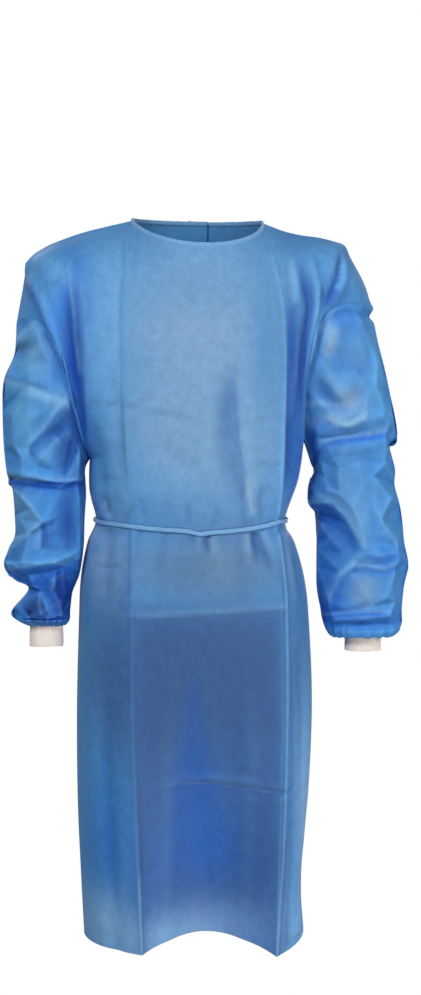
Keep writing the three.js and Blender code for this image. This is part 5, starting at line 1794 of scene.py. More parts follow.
@dataclass(frozen=True)
class ClothFinish:
    """Thin spunbond cloth: cloudy, fibrous, bonded in small points and lightly crumpled."""

    name: str = "nonwoven_blue"
    roughness: float = 0.52
    sheen: float = 0.02
    bond_pitch: float = 0.0016
    clouds: float = 0.09
    fibres: float = 0.07
    bonds: float = 0.07

    def build(self) -> bpy.types.Material:
        """Makes the material."""
        material, tree, bsdf = shader(self.name)
        bsdf.inputs["Sheen Weight"].default_value = self.sheen
        bsdf.inputs["Sheen Roughness"].default_value = 0.4
        bsdf.inputs["Sheen Tint"].default_value = (0.75, 0.87, 1, 1)
        bsdf.inputs["Specular IOR Level"].default_value = 0.16
        nodes = Nodes(tree)
        flat = nodes.flat_map(CLOTH_MAP)
        clouds = nodes.noise(flat, scale=62, detail=4, roughness=0.62)
        lengthwise = nodes.noise(nodes.stretched(flat, (900, 70, 1), turn=4))
        crosswise = nodes.noise(nodes.stretched(flat, (110, 700, 1), turn=-7))
        fibres = nodes.math("ADD", lengthwise, crosswise)
        cloudy = nodes.ranged(clouds, NOISE_SPAN, (1 - self.clouds, 1 + self.clouds))
        fibrous = nodes.ranged(fibres, (0.7, 1.3), (1 - self.fibres, 1 + self.fibres))
        bonds = nodes.cells(nodes.stretched(flat, (1, 1.35, 1), turn=45), 1 / self.bond_pitch, 0)
        dots = nodes.ranged(bonds, (0.22, 0.4), (1 - self.bonds, 1))
        tone = nodes.math("MULTIPLY", nodes.math("MULTIPLY", cloudy, fibrous), dots)
        # base colour: the colour attribute, which holds painted light and shade as well as the cloth's tone
        nodes.link(nodes.shaded(nodes.attribute(PAINTED_TONE_AND_LIGHT), tone), bsdf, "Base Color")
        rough = nodes.ranged(clouds, NOISE_SPAN, (self.roughness - 0.06, self.roughness + 0.08))
        nodes.link(rough, bsdf, "Roughness")
        large = nodes.cells(nodes.stretched(flat, (1, 0.7, 1), turn=20), scale=17)
        small = nodes.cells(nodes.stretched(flat, (1.3, 1, 1), turn=-30), scale=46)
        crumple = nodes.math("ADD", large, nodes.math("MULTIPLY", small, 0.4))
        normal = nodes.bump(crumple, distance=0.0022, strength=0.7)
        normal = nodes.bump(fibres, distance=0.00022, strength=0.8, under=normal)
        normal = nodes.bump(bonds, distance=0.00022, strength=0.7, under=normal)
        nodes.link(normal, bsdf, "Normal")
        return material


@dataclass(frozen=True)
class StripFinish:
    """The narrow folded strips: the same cloth doubled, so that it is paler and shows its fold."""

    name: str = "nonwoven_strip"
    shade: Shade = (112, 164, 214)
    roughness: float = 0.55
    bond_pitch: float = 0.0016

    def build(self) -> bpy.types.Material:
        """Makes the material."""
        material, tree, bsdf = shader(self.name)
        bsdf.inputs["Sheen Weight"].default_value = 0.15
        bsdf.inputs["Specular IOR Level"].default_value = 0.35
        nodes = Nodes(tree)
        flat = nodes.flat_map(CLOTH_MAP)
        clouds = nodes.noise(flat, scale=210, detail=3)
        fibres = nodes.noise(nodes.stretched(flat, (2200, 160, 1)))
        tone = nodes.math("MULTIPLY", nodes.ranged(clouds, NOISE_SPAN, (0.88, 1.08)),
                          nodes.ranged(fibres, NOISE_SPAN, (0.93, 1.07)))
        nodes.link(nodes.shaded(self.shade, tone), bsdf, "Base Color")
        rough = nodes.ranged(clouds, NOISE_SPAN, (self.roughness - 0.05, self.roughness + 0.1))
        nodes.link(rough, bsdf, "Roughness")
        bonds = nodes.cells(flat, 1 / self.bond_pitch, 0)
        normal = nodes.bump(clouds, distance=0.0007, strength=0.7)
        normal = nodes.bump(fibres, distance=0.00018, strength=0.8, under=normal)
        normal = nodes.bump(bonds, distance=0.0002, strength=0.6, under=normal)
        nodes.link(normal, bsdf, "Normal")
        return material


@dataclass(frozen=True)
class KnitFinish:
    """Off-white knit: small loops in rows, a little fuzzy, with painted shade between its loops."""

    name: str = "rib_knit"
    shade: Shade = (250, 238, 229)
    loop: float = 0.0011

    def build(self) -> bpy.types.Material:
        """Makes the material."""
        material, tree, bsdf = shader(self.name)
        bsdf.inputs["Sheen Weight"].default_value = 0.3
        bsdf.inputs["Sheen Roughness"].default_value = 0.5
        bsdf.inputs["Specular IOR Level"].default_value = 0.2
        nodes = Nodes(tree)
        flat = nodes.flat_map(CLOTH_MAP)
        loops = nodes.cells(nodes.stretched(flat, (1, 1.5, 1)), 1 / self.loop, 0.25)
        fuzz = nodes.noise(flat, scale=900, detail=3, roughness=0.6)
        uneven = nodes.noise(flat, scale=70, detail=3)
        # painted shade between the loops, with a little random tone
        tone = nodes.math("MULTIPLY", nodes.ranged(loops, (0.1, 0.6), (1.03, 0.86)),
                          nodes.ranged(uneven, NOISE_SPAN, (0.95, 1.03)))
        nodes.link(nodes.shaded(self.shade, tone), bsdf, "Base Color")
        nodes.link(nodes.ranged(fuzz, NOISE_SPAN, (0.82, 0.96)), bsdf, "Roughness")
        normal = nodes.bump(loops, distance=-0.0004, strength=0.8)
        normal = nodes.bump(fuzz, distance=0.0002, strength=0.6, under=normal)
        nodes.link(normal, bsdf, "Normal")
        return material


@dataclass(frozen=True)
class ThreadFinish:
    """Sewing thread, twisted."""

    name: str = "thread"
    shade: Shade = (96, 152, 210)

    def build(self) -> bpy.types.Material:
        """Makes the material."""
        material, tree, bsdf = shader(self.name)
        nodes = Nodes(tree)
        coordinates = tree.nodes.new("ShaderNodeTexCoord")
        twist = nodes.noise(coordinates.outputs["Object"], scale=2600)
        tone = nodes.ranged(twist, NOISE_SPAN, (0.85, 1.12))
        nodes.link(nodes.shaded(self.shade, tone), bsdf, "Base Color")
        nodes.link(nodes.ranged(twist, NOISE_SPAN, (0.5, 0.7)), bsdf, "Roughness")
        nodes.link(nodes.bump(twist, distance=0.0001), bsdf, "Normal")
        return material


# ---- pieces -----------------------------------------------------------------------------------------


def place_piece(mesh: bpy.types.Mesh, name: str, material: bpy.types.Material) -> bpy.types.Object:
    """Puts a finished mesh into the scene as a piece of the gown.

    Args:
        mesh: The piece's mesh, in place.
        name: The piece's name.
        material: Its material.

    Returns:
        The piece, riding on the gown's body.
    """
    mesh.materials.clear()
    mesh.materials.append(material)
    piece = bpy.data.objects.new(name, mesh)
    bpy.context.scene.collection.objects.link(piece)
    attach(piece, BODY)
    return piece


def thicken(piece: bpy.types.Object, thickness: float) -> None:
    """Gives a sheet its wall, inwards from its surface."""
    wall = piece.modifiers.new("wall", "SOLIDIFY")
    wall.thickness = thickness
    wall.offset = -1
    wall.use_rim = True


# ---- strips: the binding, the ties and their knots --------------------------------------------------


@dataclass(frozen=True)
class Stops:
    """The stops of a strip: places, directions across its width and outward directions, in metres."""

    place: np.ndarray
    across: np.ndarray
    normal: np.ndarray
    closed: bool = False

    def lengths(self) -> np.ndarray:
        """Distance of each stop from the first one."""
        return arc_lengths(self.place, 0)


def run_of(places: np.ndarray, closed: bool) -> np.ndarray:
    """The direction of a line at each of its points."""
    if closed:
        return unit(np.roll(places, -1, axis=0) - np.roll(places, 1, axis=0))
    return unit(np.gradient(places, axis=0))


def evenly(places: np.ndarray, step: float, closed: bool) -> np.ndarray:
    """Points along a line at even distances, on a smooth curve through its own points."""
    line = np.vstack([places, places[:1]]) if closed else places
    lengths = arc_lengths(line, 0)
    count = max(round(lengths[-1] / step), 2)
    at = np.linspace(0, lengths[-1], count + 1)
    even = np.stack([np.interp(at, lengths, line[:, axis]) for axis in range(3)], axis=1)
    for _ in range(3):
        middle = (even[:-2] + even[2:]) / 2
        even[1:-1] = (even[1:-1] + middle) / 2
    return even[:-1] if closed else even


def stops_on(places: np.ndarray, normals: np.ndarray, closed: bool, lift: float, rise: float = 0.0) -> Stops:
    """Stops of a strip that lies on the cloth.

    Args:
        places: Points of the cloth under it.
        normals: The cloth's outward directions there.
        closed: Whether the strip joins its own start.
        lift: How far its middle is out from the cloth, in millimetres.
        rise: How far it is moved up across the cloth, in millimetres.

    Returns:
        The stops.
    """
    across = unit(np.cross(run_of(places, closed), normals))
    across *= np.where(across[:, 2:3] < 0, -1, 1)
    return Stops(places + normals * lift * MM + across * rise * MM, across, normals, closed)


def rounded_outline(corners: int, flatness: float) -> np.ndarray:
    """A closed outline, 2 by 2, of a strip's section: 1 is an ellipse, less is squarer."""
    angle = np.linspace(0, 2 * math.pi, corners + 1)
    cosine = np.sign(np.cos(angle)) * np.abs(np.cos(angle)) ** flatness
    return np.stack([cosine, superellipse(angle, flatness)], axis=1)


def strip(name: str, stops: Stops, width: np.ndarray, thickness: np.ndarray, corners: int = 14,
          flatness: float = 0.6) -> bpy.types.Mesh:
    """A soft strip along its stops.

    Args:
        name: The mesh's name.
        stops: Where it runs.
        width: Its width at each stop, in millimetres.
        thickness: Its thickness at each stop, in millimetres.
        corners: How many corners its section has.
        flatness: How square its section is.

    Returns:
        The mesh, closed at its ends, with its length and its round as the cloth map.
    """
    outline = rounded_outline(corners, flatness)
    wide = outline[None, :, :1] * width[:, None, None] * (MM / 2) * stops.across[:, None, :]
    thick = outline[None, :, 1:] * thickness[:, None, None] * (MM / 2) * stops.normal[:, None, :]
    rings = stops.place[:, None, :] + wide + thick
    lengths = stops.lengths()
    if stops.closed:
        rings = np.concatenate([rings, rings[:1]])
        gap = np.linalg.norm(stops.place[0] - stops.place[-1])
        lengths = np.append(lengths, lengths[-1] + gap)
    bm = bmesh.new()
    bm.loops.layers.uv.new(CLOTH_MAP)
    lay_grid(bm, rings, tube_map(rings, lengths))
    bmesh.ops.remove_doubles(bm, verts=bm.verts, dist=STRIP_WELD)
    if not stops.closed:
        bmesh.ops.holes_fill(bm, edges=[edge for edge in bm.edges if edge.is_boundary], sides=corners + 1)
    bmesh.ops.recalc_face_normals(bm, faces=bm.faces)
    return to_mesh(bm, name)


def wavy(lengths: np.ndarray, period: float, seed: float) -> np.ndarray:
    """Uneven waves from -1 to 1 along a length, with about this period in metres."""
    turn = lengths / period * 2 * math.pi
    return (np.sin(turn + seed) + 0.6 * np.sin(turn * 1.7 + 2 * seed) + 0.4 * np.sin(turn * 0.43 - seed)) / 2


class Body:
    """The finished cloth, for what lies on it: places of its rows and its depth under a point."""

    def __init__(self, sewing: Sewing) -> None:
        """Reads the folded surface.

        Args:
            sewing: The sewn gown.
        """
        self.places = sewing.places()
        self.normals = sewing.normals()
        self.tree = KDTree(len(self.places))
        for number, place in enumerate(self.places):
            self.tree.insert(place, number)
        self.tree.balance()
        bm = bmesh.new()
        bm.from_mesh(sewing.mesh)
        self.surface = BVHTree.FromBMesh(bm)
        bm.free()

    def line(self, wanted: np.ndarray) -> tuple[np.ndarray, np.ndarray]:
        """The cloth's own points nearest to a line, with their outward directions."""
        numbers = [self.tree.find(place)[1] for place in wanted]
        return self.places[numbers], self.normals[numbers]

    def back_depth(self, x: float, z: float) -> float:
        """Depth of the back's outer face at a place, in metres."""
        place, _, _, _ = self.surface.ray_cast(Vector((x, 1, z)), Vector((0, -1, 0)))
        return place.y if place else 0.0


def neck_line() -> np.ndarray:
    """The neck edge, from the lower back panel round the front to the upper one."""
    first = len(SIDE_PLACES) - 1
    lower = back_grid(LEFT)[0, first:][::-1]
    front = front_grid()[0, first:first + len(FRONT_PLACES)]
    upper = back_grid(RIGHT)[0, first:]
    return np.concatenate([lower, front[1:-1], upper])


def waist_line() -> np.ndarray:
    """Once round the waist: the front, the upper back panel to its edge, then the lower one."""
    row = YOKE_STEPS + len(TO_WAIST) - 1
    lower = back_grid(LEFT)[row]
    return np.concatenate([front_grid()[row], back_grid(RIGHT)[row, 1:], lower[len(SIDE_PLACES):0:-1]])


@dataclass(frozen=True)
class Binding:
    """The folded strip round the neck edge, with its row of stitches, in millimetres.

    "bulk" is its thickness at its thickest, "clear" is how far its lower edge is above the cloth's, and
    "calm" is how often its line is evened out.
    """

    height: float = 7.0
    thickness: float = 2.4
    bulk: float = 2.6
    wall: float = 1.5
    clear: float = -0.8
    stitch: float = 2.6
    stitch_gap: float = 0.7
    stitch_drop: float = 2.2
    stitch_width: float = 0.48
    stitch_height: float = 0.4
    stitch_sunk: float = 0.12
    step: float = 2.2
    calm: int = 6

    def stops(self, body: Body) -> Stops:
        """Where it runs."""
        line = evenly(neck_line(), self.step * MM, False)
        places, normals = body.line(line)
        normals = unit(eased(normals, self.calm))
        rise = self.clear + self.height / 2
        return stops_on(eased(places, self.calm), normals, False, -self.wall / 2, rise)

    def mesh(self, stops: Stops) -> bpy.types.Mesh:
        """The strip."""
        lengths = stops.lengths()
        width = self.height + 0.35 * wavy(lengths, 0.021, 0.4)
        thickness = self.thickness + 0.25 * wavy(lengths, 0.0066, 1.3)
        return strip("neck_binding", stops, width, thickness, 16, 0.7)

    def stitches(self, stops: Stops) -> bpy.types.Mesh:
        """A row of short threads along the lower edge of the outer face."""
        pitch = self.stitch + self.stitch_gap
        lengths = stops.lengths()
        count = int(lengths[-1] / MM / pitch)
        out = (self.thickness / 2 - self.stitch_sunk) * MM
        half_sizes = np.array([self.stitch, self.stitch_width, self.stitch_height]) * MM / 2
        size = Matrix.Diagonal((*half_sizes, 1))
        bm = bmesh.new()
        layer = bm.loops.layers.uv.new(CLOTH_MAP)
        for number in range(count):
            at = (number + 0.5) * pitch * MM
            place, across, normal = (
                np.array([np.interp(at, lengths, values[:, axis]) for axis in range(3)])
                for values in (stops.place, stops.across, stops.normal)
            )
            middle = place - across * self.stitch_drop * MM + normal * out
            axes = Matrix((np.cross(across, normal), across, normal)).transposed().to_4x4()
            sized = Matrix.Translation(middle) @ axes @ size
            made = bmesh.ops.create_icosphere(bm, subdivisions=1, radius=1, matrix=sized)
            for vert in made["verts"]:
                for loop in vert.link_loops:
                    loop[layer].uv = (at, 0)
        for face in bm.faces:
            face.smooth = True
        return to_mesh(bm, "neck_stitches")


TIE_PATH = (  # the tie across the front, x and z: it sags from both sides and is caught at the middle
    (-160, -460), (-112, -466.5), (-83, -470), (-45, -472.5), (-26, -474.5), (-9, -478.5), (8, -476),
    (31, -474.5), (70, -470), (91, -466), (112, -460), (160, -458),
)


@dataclass(frozen=True)
class Tie:
    """The narrow folded strip of the ties, in millimetres.

    "calm" is how often its line is evened out, "most_drawn" is how far it is moved up or down to follow
    TIE_PATH, "front" are the depths between which it starts to, and "pitch" and "tilt" are those of its
    waves.
    """

    width: float = 8.0
    thickness: float = 2.4
    waist_lift: float = 3.2
    step: float = 2.6
    calm: int = 12
    most_drawn: float = 6.0
    front: tuple[float, float] = (20, 60)
    pitch: float = 34.0
    tilt: float = 0.16

    def round_waist(self, body: Body) -> Stops:
        """Where it runs round the waist, over the gathers."""
        places, normals = body.line(evenly(waist_line(), self.step * MM, True))
        for _ in range(self.calm):
            normals = unit(normals + np.roll(normals, 1, axis=0) + np.roll(normals, -1, axis=0))
            places = (places * 2 + np.roll(places, 1, axis=0) + np.roll(places, -1, axis=0)) / 4
        x, y, z = places.T / MM
        wanted = np.interp(x, *np.transpose(TIE_PATH))
        drawn = np.clip(wanted - z, -self.most_drawn, self.most_drawn) * fade(-y, *self.front)
        places[:, 2] += drawn * MM
        return stops_on(places, normals, True, self.waist_lift)

    def waist_mesh(self, stops: Stops) -> bpy.types.Mesh:
        """The strip round the waist, narrowed and turned a little where it is drawn over folds."""
        lengths = stops.lengths()
        turns = lengths[-1] / (self.pitch * MM)
        turn = lengths / lengths[-1] * 2 * math.pi
        wave, ripple = np.sin(turn * round(turns)), np.sin(turn * round(3 * turns))
        tilt = self.tilt * wave[:, None]
        across = unit(stops.across + stops.normal * tilt)
        normal = unit(stops.normal - stops.across * tilt)
        turned = Stops(stops.place, across, normal, True)
        width = self.width * (0.8 + 0.05 * wave)
        thickness = self.thickness * (0.95 + 0.1 * ripple)
        return strip("waist_tie", turned, width, thickness, 16, 0.6)


@dataclass(frozen=True)
class Knot:
    """A single overhand knot in a tie, in millimetres.

    "strand" is the width of the strip in it, "margins" is how far the middle of the strip stays inside
    the knot's box, "loop" is how wide its loops are and "count" is how many stops they have.
    """

    width: float = 20.0
    depth: float = 9.0
    height: float = 14.0
    clear: float = 0.4
    strand: float = 5.4
    strand_thickness: float = 3.0
    margins: tuple[float, float, float] = (2.6, 1.5, 2.3)
    loop: float = 1.9
    count: int = 96

    def centre(self, stops: Stops, thickness: float) -> np.ndarray:
        """Its middle: outside the strip that it closes, at the centre back."""
        places = stops.place
        closest = places[np.argmin(np.abs(places[:, 0]) - places[:, 1])]
        out = (thickness / 2 + self.clear + self.depth / 2) * MM
        return np.array([0, closest[1] + out, closest[2]])

    def mesh(self, name: str, centre: np.ndarray) -> bpy.types.Mesh:
        """The strip crossed over itself and drawn tight."""
        t = np.linspace(0, 2 * math.pi, self.count + 1)[:-1]
        x = np.sin(t) + self.loop * np.sin(2 * t)
        z = np.cos(t) - self.loop * np.cos(2 * t)
        path = points(x, -np.sin(3 * t), z)
        half = (np.array([self.width, self.depth, self.height]) / 2 - self.margins) * MM
        places = path / np.abs(path).max(axis=0) * half + centre
        run = run_of(places, True)
        across = unit(np.cross(run, unit(places - centre) * (1, 0.4, 1) + (0, 0.9, 0)))
        stops = Stops(places, across, unit(np.cross(across, run)), True)
        lengths = stops.lengths()
        width = self.strand + 0.4 * wavy(lengths, 0.02, 0.9)
        return strip(name, stops, width, np.full(self.count, self.strand_thickness), 12, 0.7)


@dataclass(frozen=True)
class HangingEnd:
    """A free end of a tie, which hangs from its knot and lies down the back, in millimetres.

    "start" and "spread" are how far it is from the centre back at its top and how much further at its
    tip, "calm" is how often its line is evened out and "turn" is how far it twists, in radians.
    """

    length: float
    start: float
    spread: float
    clear: float = 3.4
    step: float = 4.0
    calm: int = 60
    turn: float = 0.22

    def stops(self, body: Body, top: np.ndarray, sign: int) -> Stops:
        """Where it runs.

        Args:
            body: The finished cloth.
            top: Where it leaves its knot.
            sign: -1 for the end on the left, 1 for the one on the right.

        Returns:
            Its stops.
        """
        share = np.linspace(0, 1, round(self.length / self.step) + 1)
        z = top[2] - share * self.length * MM
        x = sign * (self.start + self.spread * share) * MM
        y = np.array([body.back_depth(*at) for at in zip(x, z)]) + self.clear * MM
        y = eased(np.maximum(eased(y, self.calm), top[1]), 4)
        places = np.stack([x, y, z], axis=1)
        run = run_of(places, False)
        twist = self.turn * np.sin(share * 7 + 2 * sign)
        across = unit(points(np.cos(twist), np.sin(twist), 0))
        across = unit(across - run * (across * run).sum(axis=1, keepdims=True))
        normal = unit(np.cross(across, run))
        return Stops(places, across, normal * np.where(normal[:, 1:2] < 0, -1, 1))

    def mesh(self, name: str, stops: Stops, tie: Tie) -> bpy.types.Mesh:
        """The end, cut straight across."""
        lengths = stops.lengths()
        width = tie.width * (0.97 + 0.03 * wavy(lengths, 0.05, len(name)))
        thickness = tie.thickness * (0.8 + 0.14 * wavy(lengths, 0.03, len(name) + 1))
        return strip(name, stops, width, thickness, 14, 0.55)


# ---- cuffs ------------------------------------------------------------------------------------------


@dataclass(frozen=True)
class Cuff:
    """A rib-knit cuff, doubled at its open end, in millimetres.

    "tuck" is how far it reaches up inside the sleeve, "edge" is the height of its turned edge, "slack"
    is how uneven its round is, "waist" and "grip" are how far it is drawn in below its top and inside
    the sleeve, "lean" is how far it leans out, and "skew" is a share of that and the slant of its edge.
    """

    wrist: Wrist
    sign: int
    tuck: float = 9.0
    wall: float = 1.8
    edge: float = 1.0
    rows: int = 26
    edge_rows: int = 7
    ribs: int = 64
    columns_per_rib: int = 6
    rib_height: float = 0.34
    slack: float = 0.5
    waist: float = 0.7
    grip: float = 2.2
    lean: float = 1.1
    skew: float = 0.4

    def mesh(self, name: str) -> bpy.types.Mesh:
        """The cuff's outer face, its turned edge and its inner face."""
        angle = np.linspace(0, 2 * math.pi, self.ribs * self.columns_per_rib + 1)
        bottom = self.wrist.top - self.wrist.height + self.edge
        outer = np.linspace(self.wrist.top + self.tuck, bottom, self.rows)
        turn = np.linspace(0, math.pi, self.edge_rows + 2)[1:-1]
        levels = [(z, 0.0) for z in outer]
        levels += [(bottom - np.sin(at) * self.edge, (1 - np.cos(at)) / 2 * self.wall) for at in turn]
        levels += [(z, self.wall) for z in outer[::-1]]
        rings = np.stack([self.ring(angle, z, inset) for z, inset in levels]) * MM
        bm = bmesh.new()
        bm.loops.layers.uv.new(CLOTH_MAP)
        lay_grid(bm, rings, tube_map(rings, arc_lengths(rings[:, 0], 0)))
        bmesh.ops.remove_doubles(bm, verts=bm.verts, dist=CUFF_WELD)
        bmesh.ops.bridge_loops(bm, edges=[edge for edge in bm.edges if edge.is_boundary])
        bmesh.ops.recalc_face_normals(bm, faces=bm.faces)
        return to_mesh(bm, name)

    def ring(self, angle: np.ndarray, z: float, inset: float) -> np.ndarray:
        """A ring of it at a height, moved in from its outer face."""
        wrist = self.wrist
        down = (wrist.top - z) / wrist.height
        rib = self.rib_height * (np.cos(angle * self.ribs) - 1) / 2
        slack = self.slack * np.sin(3 * angle + 4 * down + self.sign) * fade(np.array(down), 0, 0.9)
        drawn = self.waist * math.exp(-((down - 0.1) / 0.18) ** 2)
        drawn += self.grip * float(fade(np.array(down), 0.02, -0.12))
        lean = self.lean * math.sin(down * 2.2) * self.sign * self.skew
        out = rib + slack - drawn - inset
        x = self.sign * wrist.middle + (wrist.half_width + out) * np.cos(angle) + lean
        y = wrist.y - (wrist.half_depth + out) * superellipse(angle, SLEEVE_FULLNESS)
        return points(x, y, z + self.skew * np.sin(2 * angle + self.sign) * down)


# ---- stage ------------------------------------------------------------------------------------------


@dataclass(frozen=True)
class Camera:
    """A level camera, a little to the left of the gown's front."""

    azimuth: float = -7.5
    distance: float = 2.8
    height: float = -0.424
    aim: float = 0.019
    focal: float = 65.87
    sensor: float = 36.0

    def build(self) -> None:
        """Makes the camera the scene's camera."""
        data = bpy.data.cameras.new("camera")
        data.lens = self.focal
        data.sensor_width = self.sensor
        data.clip_end = 50
        camera = bpy.data.objects.new("camera", data)
        bpy.context.scene.collection.objects.link(camera)
        turn = math.radians(self.azimuth)
        right = Vector((math.cos(turn), math.sin(turn), 0))
        back = Vector((math.sin(turn), -math.cos(turn), 0))
        camera.location = right * self.aim + back * self.distance + Vector((0, 0, self.height))
        camera.rotation_euler = (-back).to_track_quat("-Z", "Y").to_euler()
        bpy.context.scene.camera = camera


LAMPS = (  # name, place, size and power
    ("key", (-1.8, -2.4, 1.3), 0.9, 74),
    ("fill", (2.3, -1.9, 0.5), 1.2, 36),
    ("low", (1.1, -2.4, -1.5), 1.2, 36),
    ("back_left", (-0.9, 3.1, 1.2), 1.4, 34),
    ("back_right", (1.1, 3.1, 0.0), 1.4, 20),
)
LIT = Vector((0, 0, -0.5))  # the gown's middle, which the lamps are aimed at


@dataclass(frozen=True)
class Studio:
    """Soft lights, a pale surround and a pale floor."""

    floor_height: float = -1.45
    floor_radius: float = 0.94
    floor_middle: float = 0.35
    surround_light: float = 0.27

    def build(self) -> None:
        """Lights the scene and lays its floor."""
        self.surround()
        for lamp in LAMPS:
            self.lamp(*lamp)
        self.floor()

    def surround(self) -> None:
        """A white world, less bright as a light than as a backdrop."""
        world = bpy.data.worlds.new("surround")
        world.use_nodes = True
        bpy.context.scene.world = world
        tree = world.node_tree
        background = tree.nodes["Background"]
        background.inputs["Color"].default_value = (1, 1, 1, 1)
        path = tree.nodes.new("ShaderNodeLightPath")
        strength = tree.nodes.new("ShaderNodeMapRange")
        strength.inputs["To Min"].default_value = self.surround_light
        strength.inputs["To Max"].default_value = 1.0
        tree.links.new(path.outputs["Is Camera Ray"], strength.inputs["Value"])
        tree.links.new(strength.outputs["Result"], background.inputs["Strength"])
        bpy.context.scene.view_settings.view_transform = "Standard"

    def lamp(self, name: str, place: tuple[float, float, float], size: float, power: float) -> None:
        """A square lamp, aimed at the gown's middle."""
        data = bpy.data.lights.new(name, "AREA")
        data.size = size
        data.energy = power
        lamp = bpy.data.objects.new(name, data)
        lamp.location = place
        lamp.rotation_euler = (LIT - Vector(place)).to_track_quat("-Z", "Y").to_euler()
        bpy.context.scene.collection.objects.link(lamp)

    def floor(self) -> None:
        """A pale disc that fades into the surround."""
        bm = bmesh.new()
        place = Matrix.Translation((0, 0, self.floor_height))
        bmesh.ops.create_circle(bm, cap_ends=True, segments=96, radius=self.floor_radius, matrix=place)
        mesh = to_mesh(bm, "floor")
        material, tree, bsdf = shader("pale_floor")
        bsdf.inputs["Base Color"].default_value = (0.92, 0.92, 0.92, 1)
        bsdf.inputs["Roughness"].default_value = 0.8
        nodes = Nodes(tree)
        coordinates = tree.nodes.new("ShaderNodeTexCoord")
        length = tree.nodes.new("ShaderNodeVectorMath")
        length.operation = "LENGTH"
        flat = nodes.stretched(coordinates.outputs["Object"], (1, 1, 0))
        nodes.link(flat, length, 0)
        rim = (self.floor_middle * self.floor_radius, self.floor_radius)
        nodes.link(nodes.ranged(length.outputs["Value"], rim, (0.75, 0)), bsdf, "Alpha")
        mesh.materials.append(material)
        floor = bpy.data.objects.new("floor", mesh)
        bpy.context.scene.collection.objects.link(floor)


# ---- the gown ---------------------------------------------------------------------------------------


@dataclass(frozen=True)
class Cut:
    """The flat cloth that a sheet was cut from, in metres and square metres."""

    width: float
    length: float
    area: float
    held: str = "hung"

    def declare(self, piece: bpy.types.Object, rests_on: Sequence[str]) -> None:
        """Takes a piece and what it rests on, and does nothing with them."""


CUTS = {
    "front": Cut(0.58, 1.12, 0.54),
    "back_left": Cut(0.36, 1.10, 0.32),
    "back_right": Cut(0.34, 1.10, 0.305),
    "sleeve_left": Cut(0.36, 0.50, 0.145),
    "sleeve_right": Cut(0.44, 0.54, 0.20),
    "cuff_left": Cut(0.13, 0.05, 0.0063, "stretched"),
    "cuff_right": Cut(0.13, 0.05, 0.0063, "stretched"),
}


ENDS = {
    "neck": HangingEnd(length=170, start=5, spread=14),
    "waist": HangingEnd(length=300, start=5, spread=26),
}
CLOTH_THICKNESS = 0.0005  # in metres
KINK_PASSES = 5  # how often the sewn surface is smoothed
KNOT_GRIP = 0.3  # how far a hanging end starts inside its knot, in millimetres


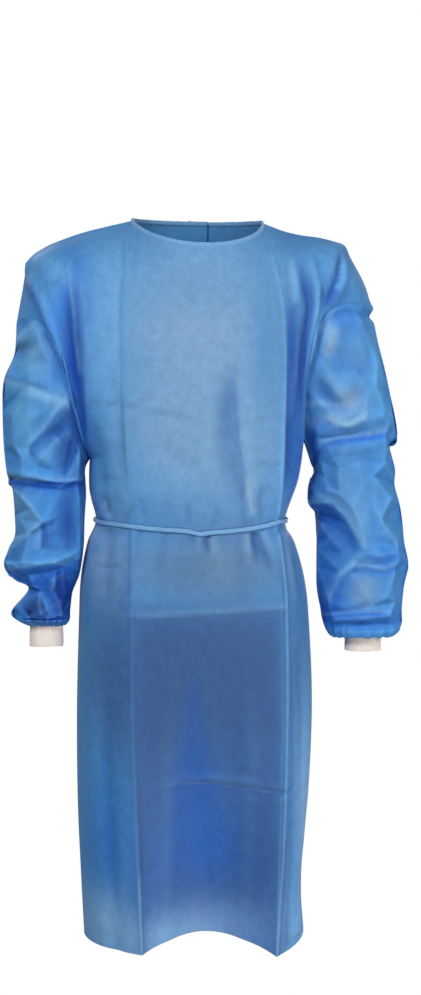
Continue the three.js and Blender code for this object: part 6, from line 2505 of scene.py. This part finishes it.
class Gown:
    """The whole gown: its cloth, neck binding, ties and cuffs."""

    def __init__(self) -> None:
        """Starts with no cloth, and with the finish of its strips and knots."""
        self.sewing = Sewing()
        self.tie = Tie()
        self.strips = StripFinish().build()

    def build(self) -> None:
        """Builds its pieces in order."""
        self.sew()
        self.shape()
        self.dress_cloth()
        body = Body(self.sewing)
        neck = self.dress_neck(body)
        waist = self.dress_waist(body)
        self.dress_ends(body, "neck", neck, Binding.bulk)
        self.dress_ends(body, "waist", waist, Tie.thickness)
        self.dress_cuffs()

    def add(self, node: str, ending: str, mesh: bpy.types.Mesh, material: bpy.types.Material,
            slot: str) -> bpy.types.Object:
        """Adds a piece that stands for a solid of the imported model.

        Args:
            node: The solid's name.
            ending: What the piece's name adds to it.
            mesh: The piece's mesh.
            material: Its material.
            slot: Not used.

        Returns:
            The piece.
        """
        piece = place_piece(mesh, f"{node}_{ending}", material)
        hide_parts(node)
        LOG.info("%s: %d faces", piece.name, len(mesh.polygons))
        return piece

    def sew(self) -> None:
        """Lays out the cut pieces of the cloth and sews them."""
        side = len(SIDE_PLACES) - 1
        self.sewing.add("front", front_grid(), side + len(FRONT_PLACES) // 2)
        for pose in SLEEVES.values():
            self.sewing.add(f"back_{pose.name}", back_grid(pose), side)
        for pose in SLEEVES.values():
            self.sewing.add(f"sleeve_{pose.name}", sleeve_grid(pose), 0)
        self.sewing.sew()

    def shape(self) -> None:
        """Rounds the cloth's kinks off, flattens and folds it, and gives it its colour with painted light
        and shade.
        """
        surface = Surface(self.sewing)
        LOG.info("sewn: %d points", surface.count)
        surface.smooth(KINK_PASSES, 1 - surface.rim)
        faceting = Faceting(surface, Folding(surface).masks)
        for (part, face), lines in FACETS.items():
            faceting.flatten(SLEEVES[part], face, lines)
        faceting.finish()
        folding = Folding(surface)
        folding.press()
        ToneAndLightPainting(surface, folding.masks).paint()

    def dress_cloth(self) -> None:
        """Cuts the surface into its pieces again and gives each its thickness."""
        cloth = ClothFinish().build()
        for name in self.sewing.names:
            slot = "sleeve_cloth" if name.startswith("sleeve") else "cloth"
            piece = self.add(name, "cloth", self.sewing.cut(name), cloth, slot)
            thicken(piece, CLOTH_THICKNESS)
            CUTS[name].declare(piece, ())

    def dress_neck(self, body: Body) -> Stops:
        """Adds the binding and its stitches, and returns where the binding runs."""
        binding = Binding()
        stops = binding.stops(body)
        self.add("neck_binding", "cloth", binding.mesh(stops), self.strips, "binding")
        stitches = place_piece(binding.stitches(stops), "neck_stitches", ThreadFinish().build())
        LOG.info("%s: %d faces", stitches.name, len(stitches.data.polygons))
        return stops

    def dress_waist(self, body: Body) -> Stops:
        """Adds the tie round the waist, and returns where it runs."""
        stops = self.tie.round_waist(body)
        self.add("waist_tie", "cloth", self.tie.waist_mesh(stops), self.strips, "tie")
        return stops

    def dress_ends(self, body: Body, name: str, run: Stops, thickness: float) -> None:
        """Adds the knot that closes a strip at the back, and its two hanging ends.

        Args:
            body: The finished cloth.
            name: Neck or waist.
            run: Where the strip that it closes runs.
            thickness: How thick that strip is, in millimetres.
        """
        knot, free = Knot(), ENDS[name]
        centre = knot.centre(run, thickness)
        self.add(f"{name}_knot", "cloth", knot.mesh(f"{name}_knot", centre), self.strips, "tie")
        top = centre - (0, 0, (knot.height / 2 - KNOT_GRIP) * MM)
        for side, sign in (("left", -1), ("right", 1)):
            end = f"{name}_end_{side}"
            stops = free.stops(body, top, sign)
            piece = self.add(end, "cloth", free.mesh(end, stops, self.tie), self.strips, "tie")
            stops.lengths()[-1]
            LOG.info("%s: %.3f m", end, stops.lengths()[-1])

    def dress_cuffs(self) -> None:
        """Adds the two cuffs."""
        knit = KnitFinish().build()
        for pose in SLEEVES.values():
            name = f"cuff_{pose.name}"
            piece = self.add(name, "knit", Cuff(pose.wrist, pose.sign).mesh(name), knit, "knit")
            CUTS[name].declare(piece, [f"sleeve_{pose.name}_cloth"])


def main() -> None:
    """Builds the camera, the stage and the gown."""
    logging.basicConfig(level=logging.INFO, format="%(name)s: %(message)s")
    Camera().build()
    Studio().build()
    Gown().build()


if __name__ == "__main__":
    main()
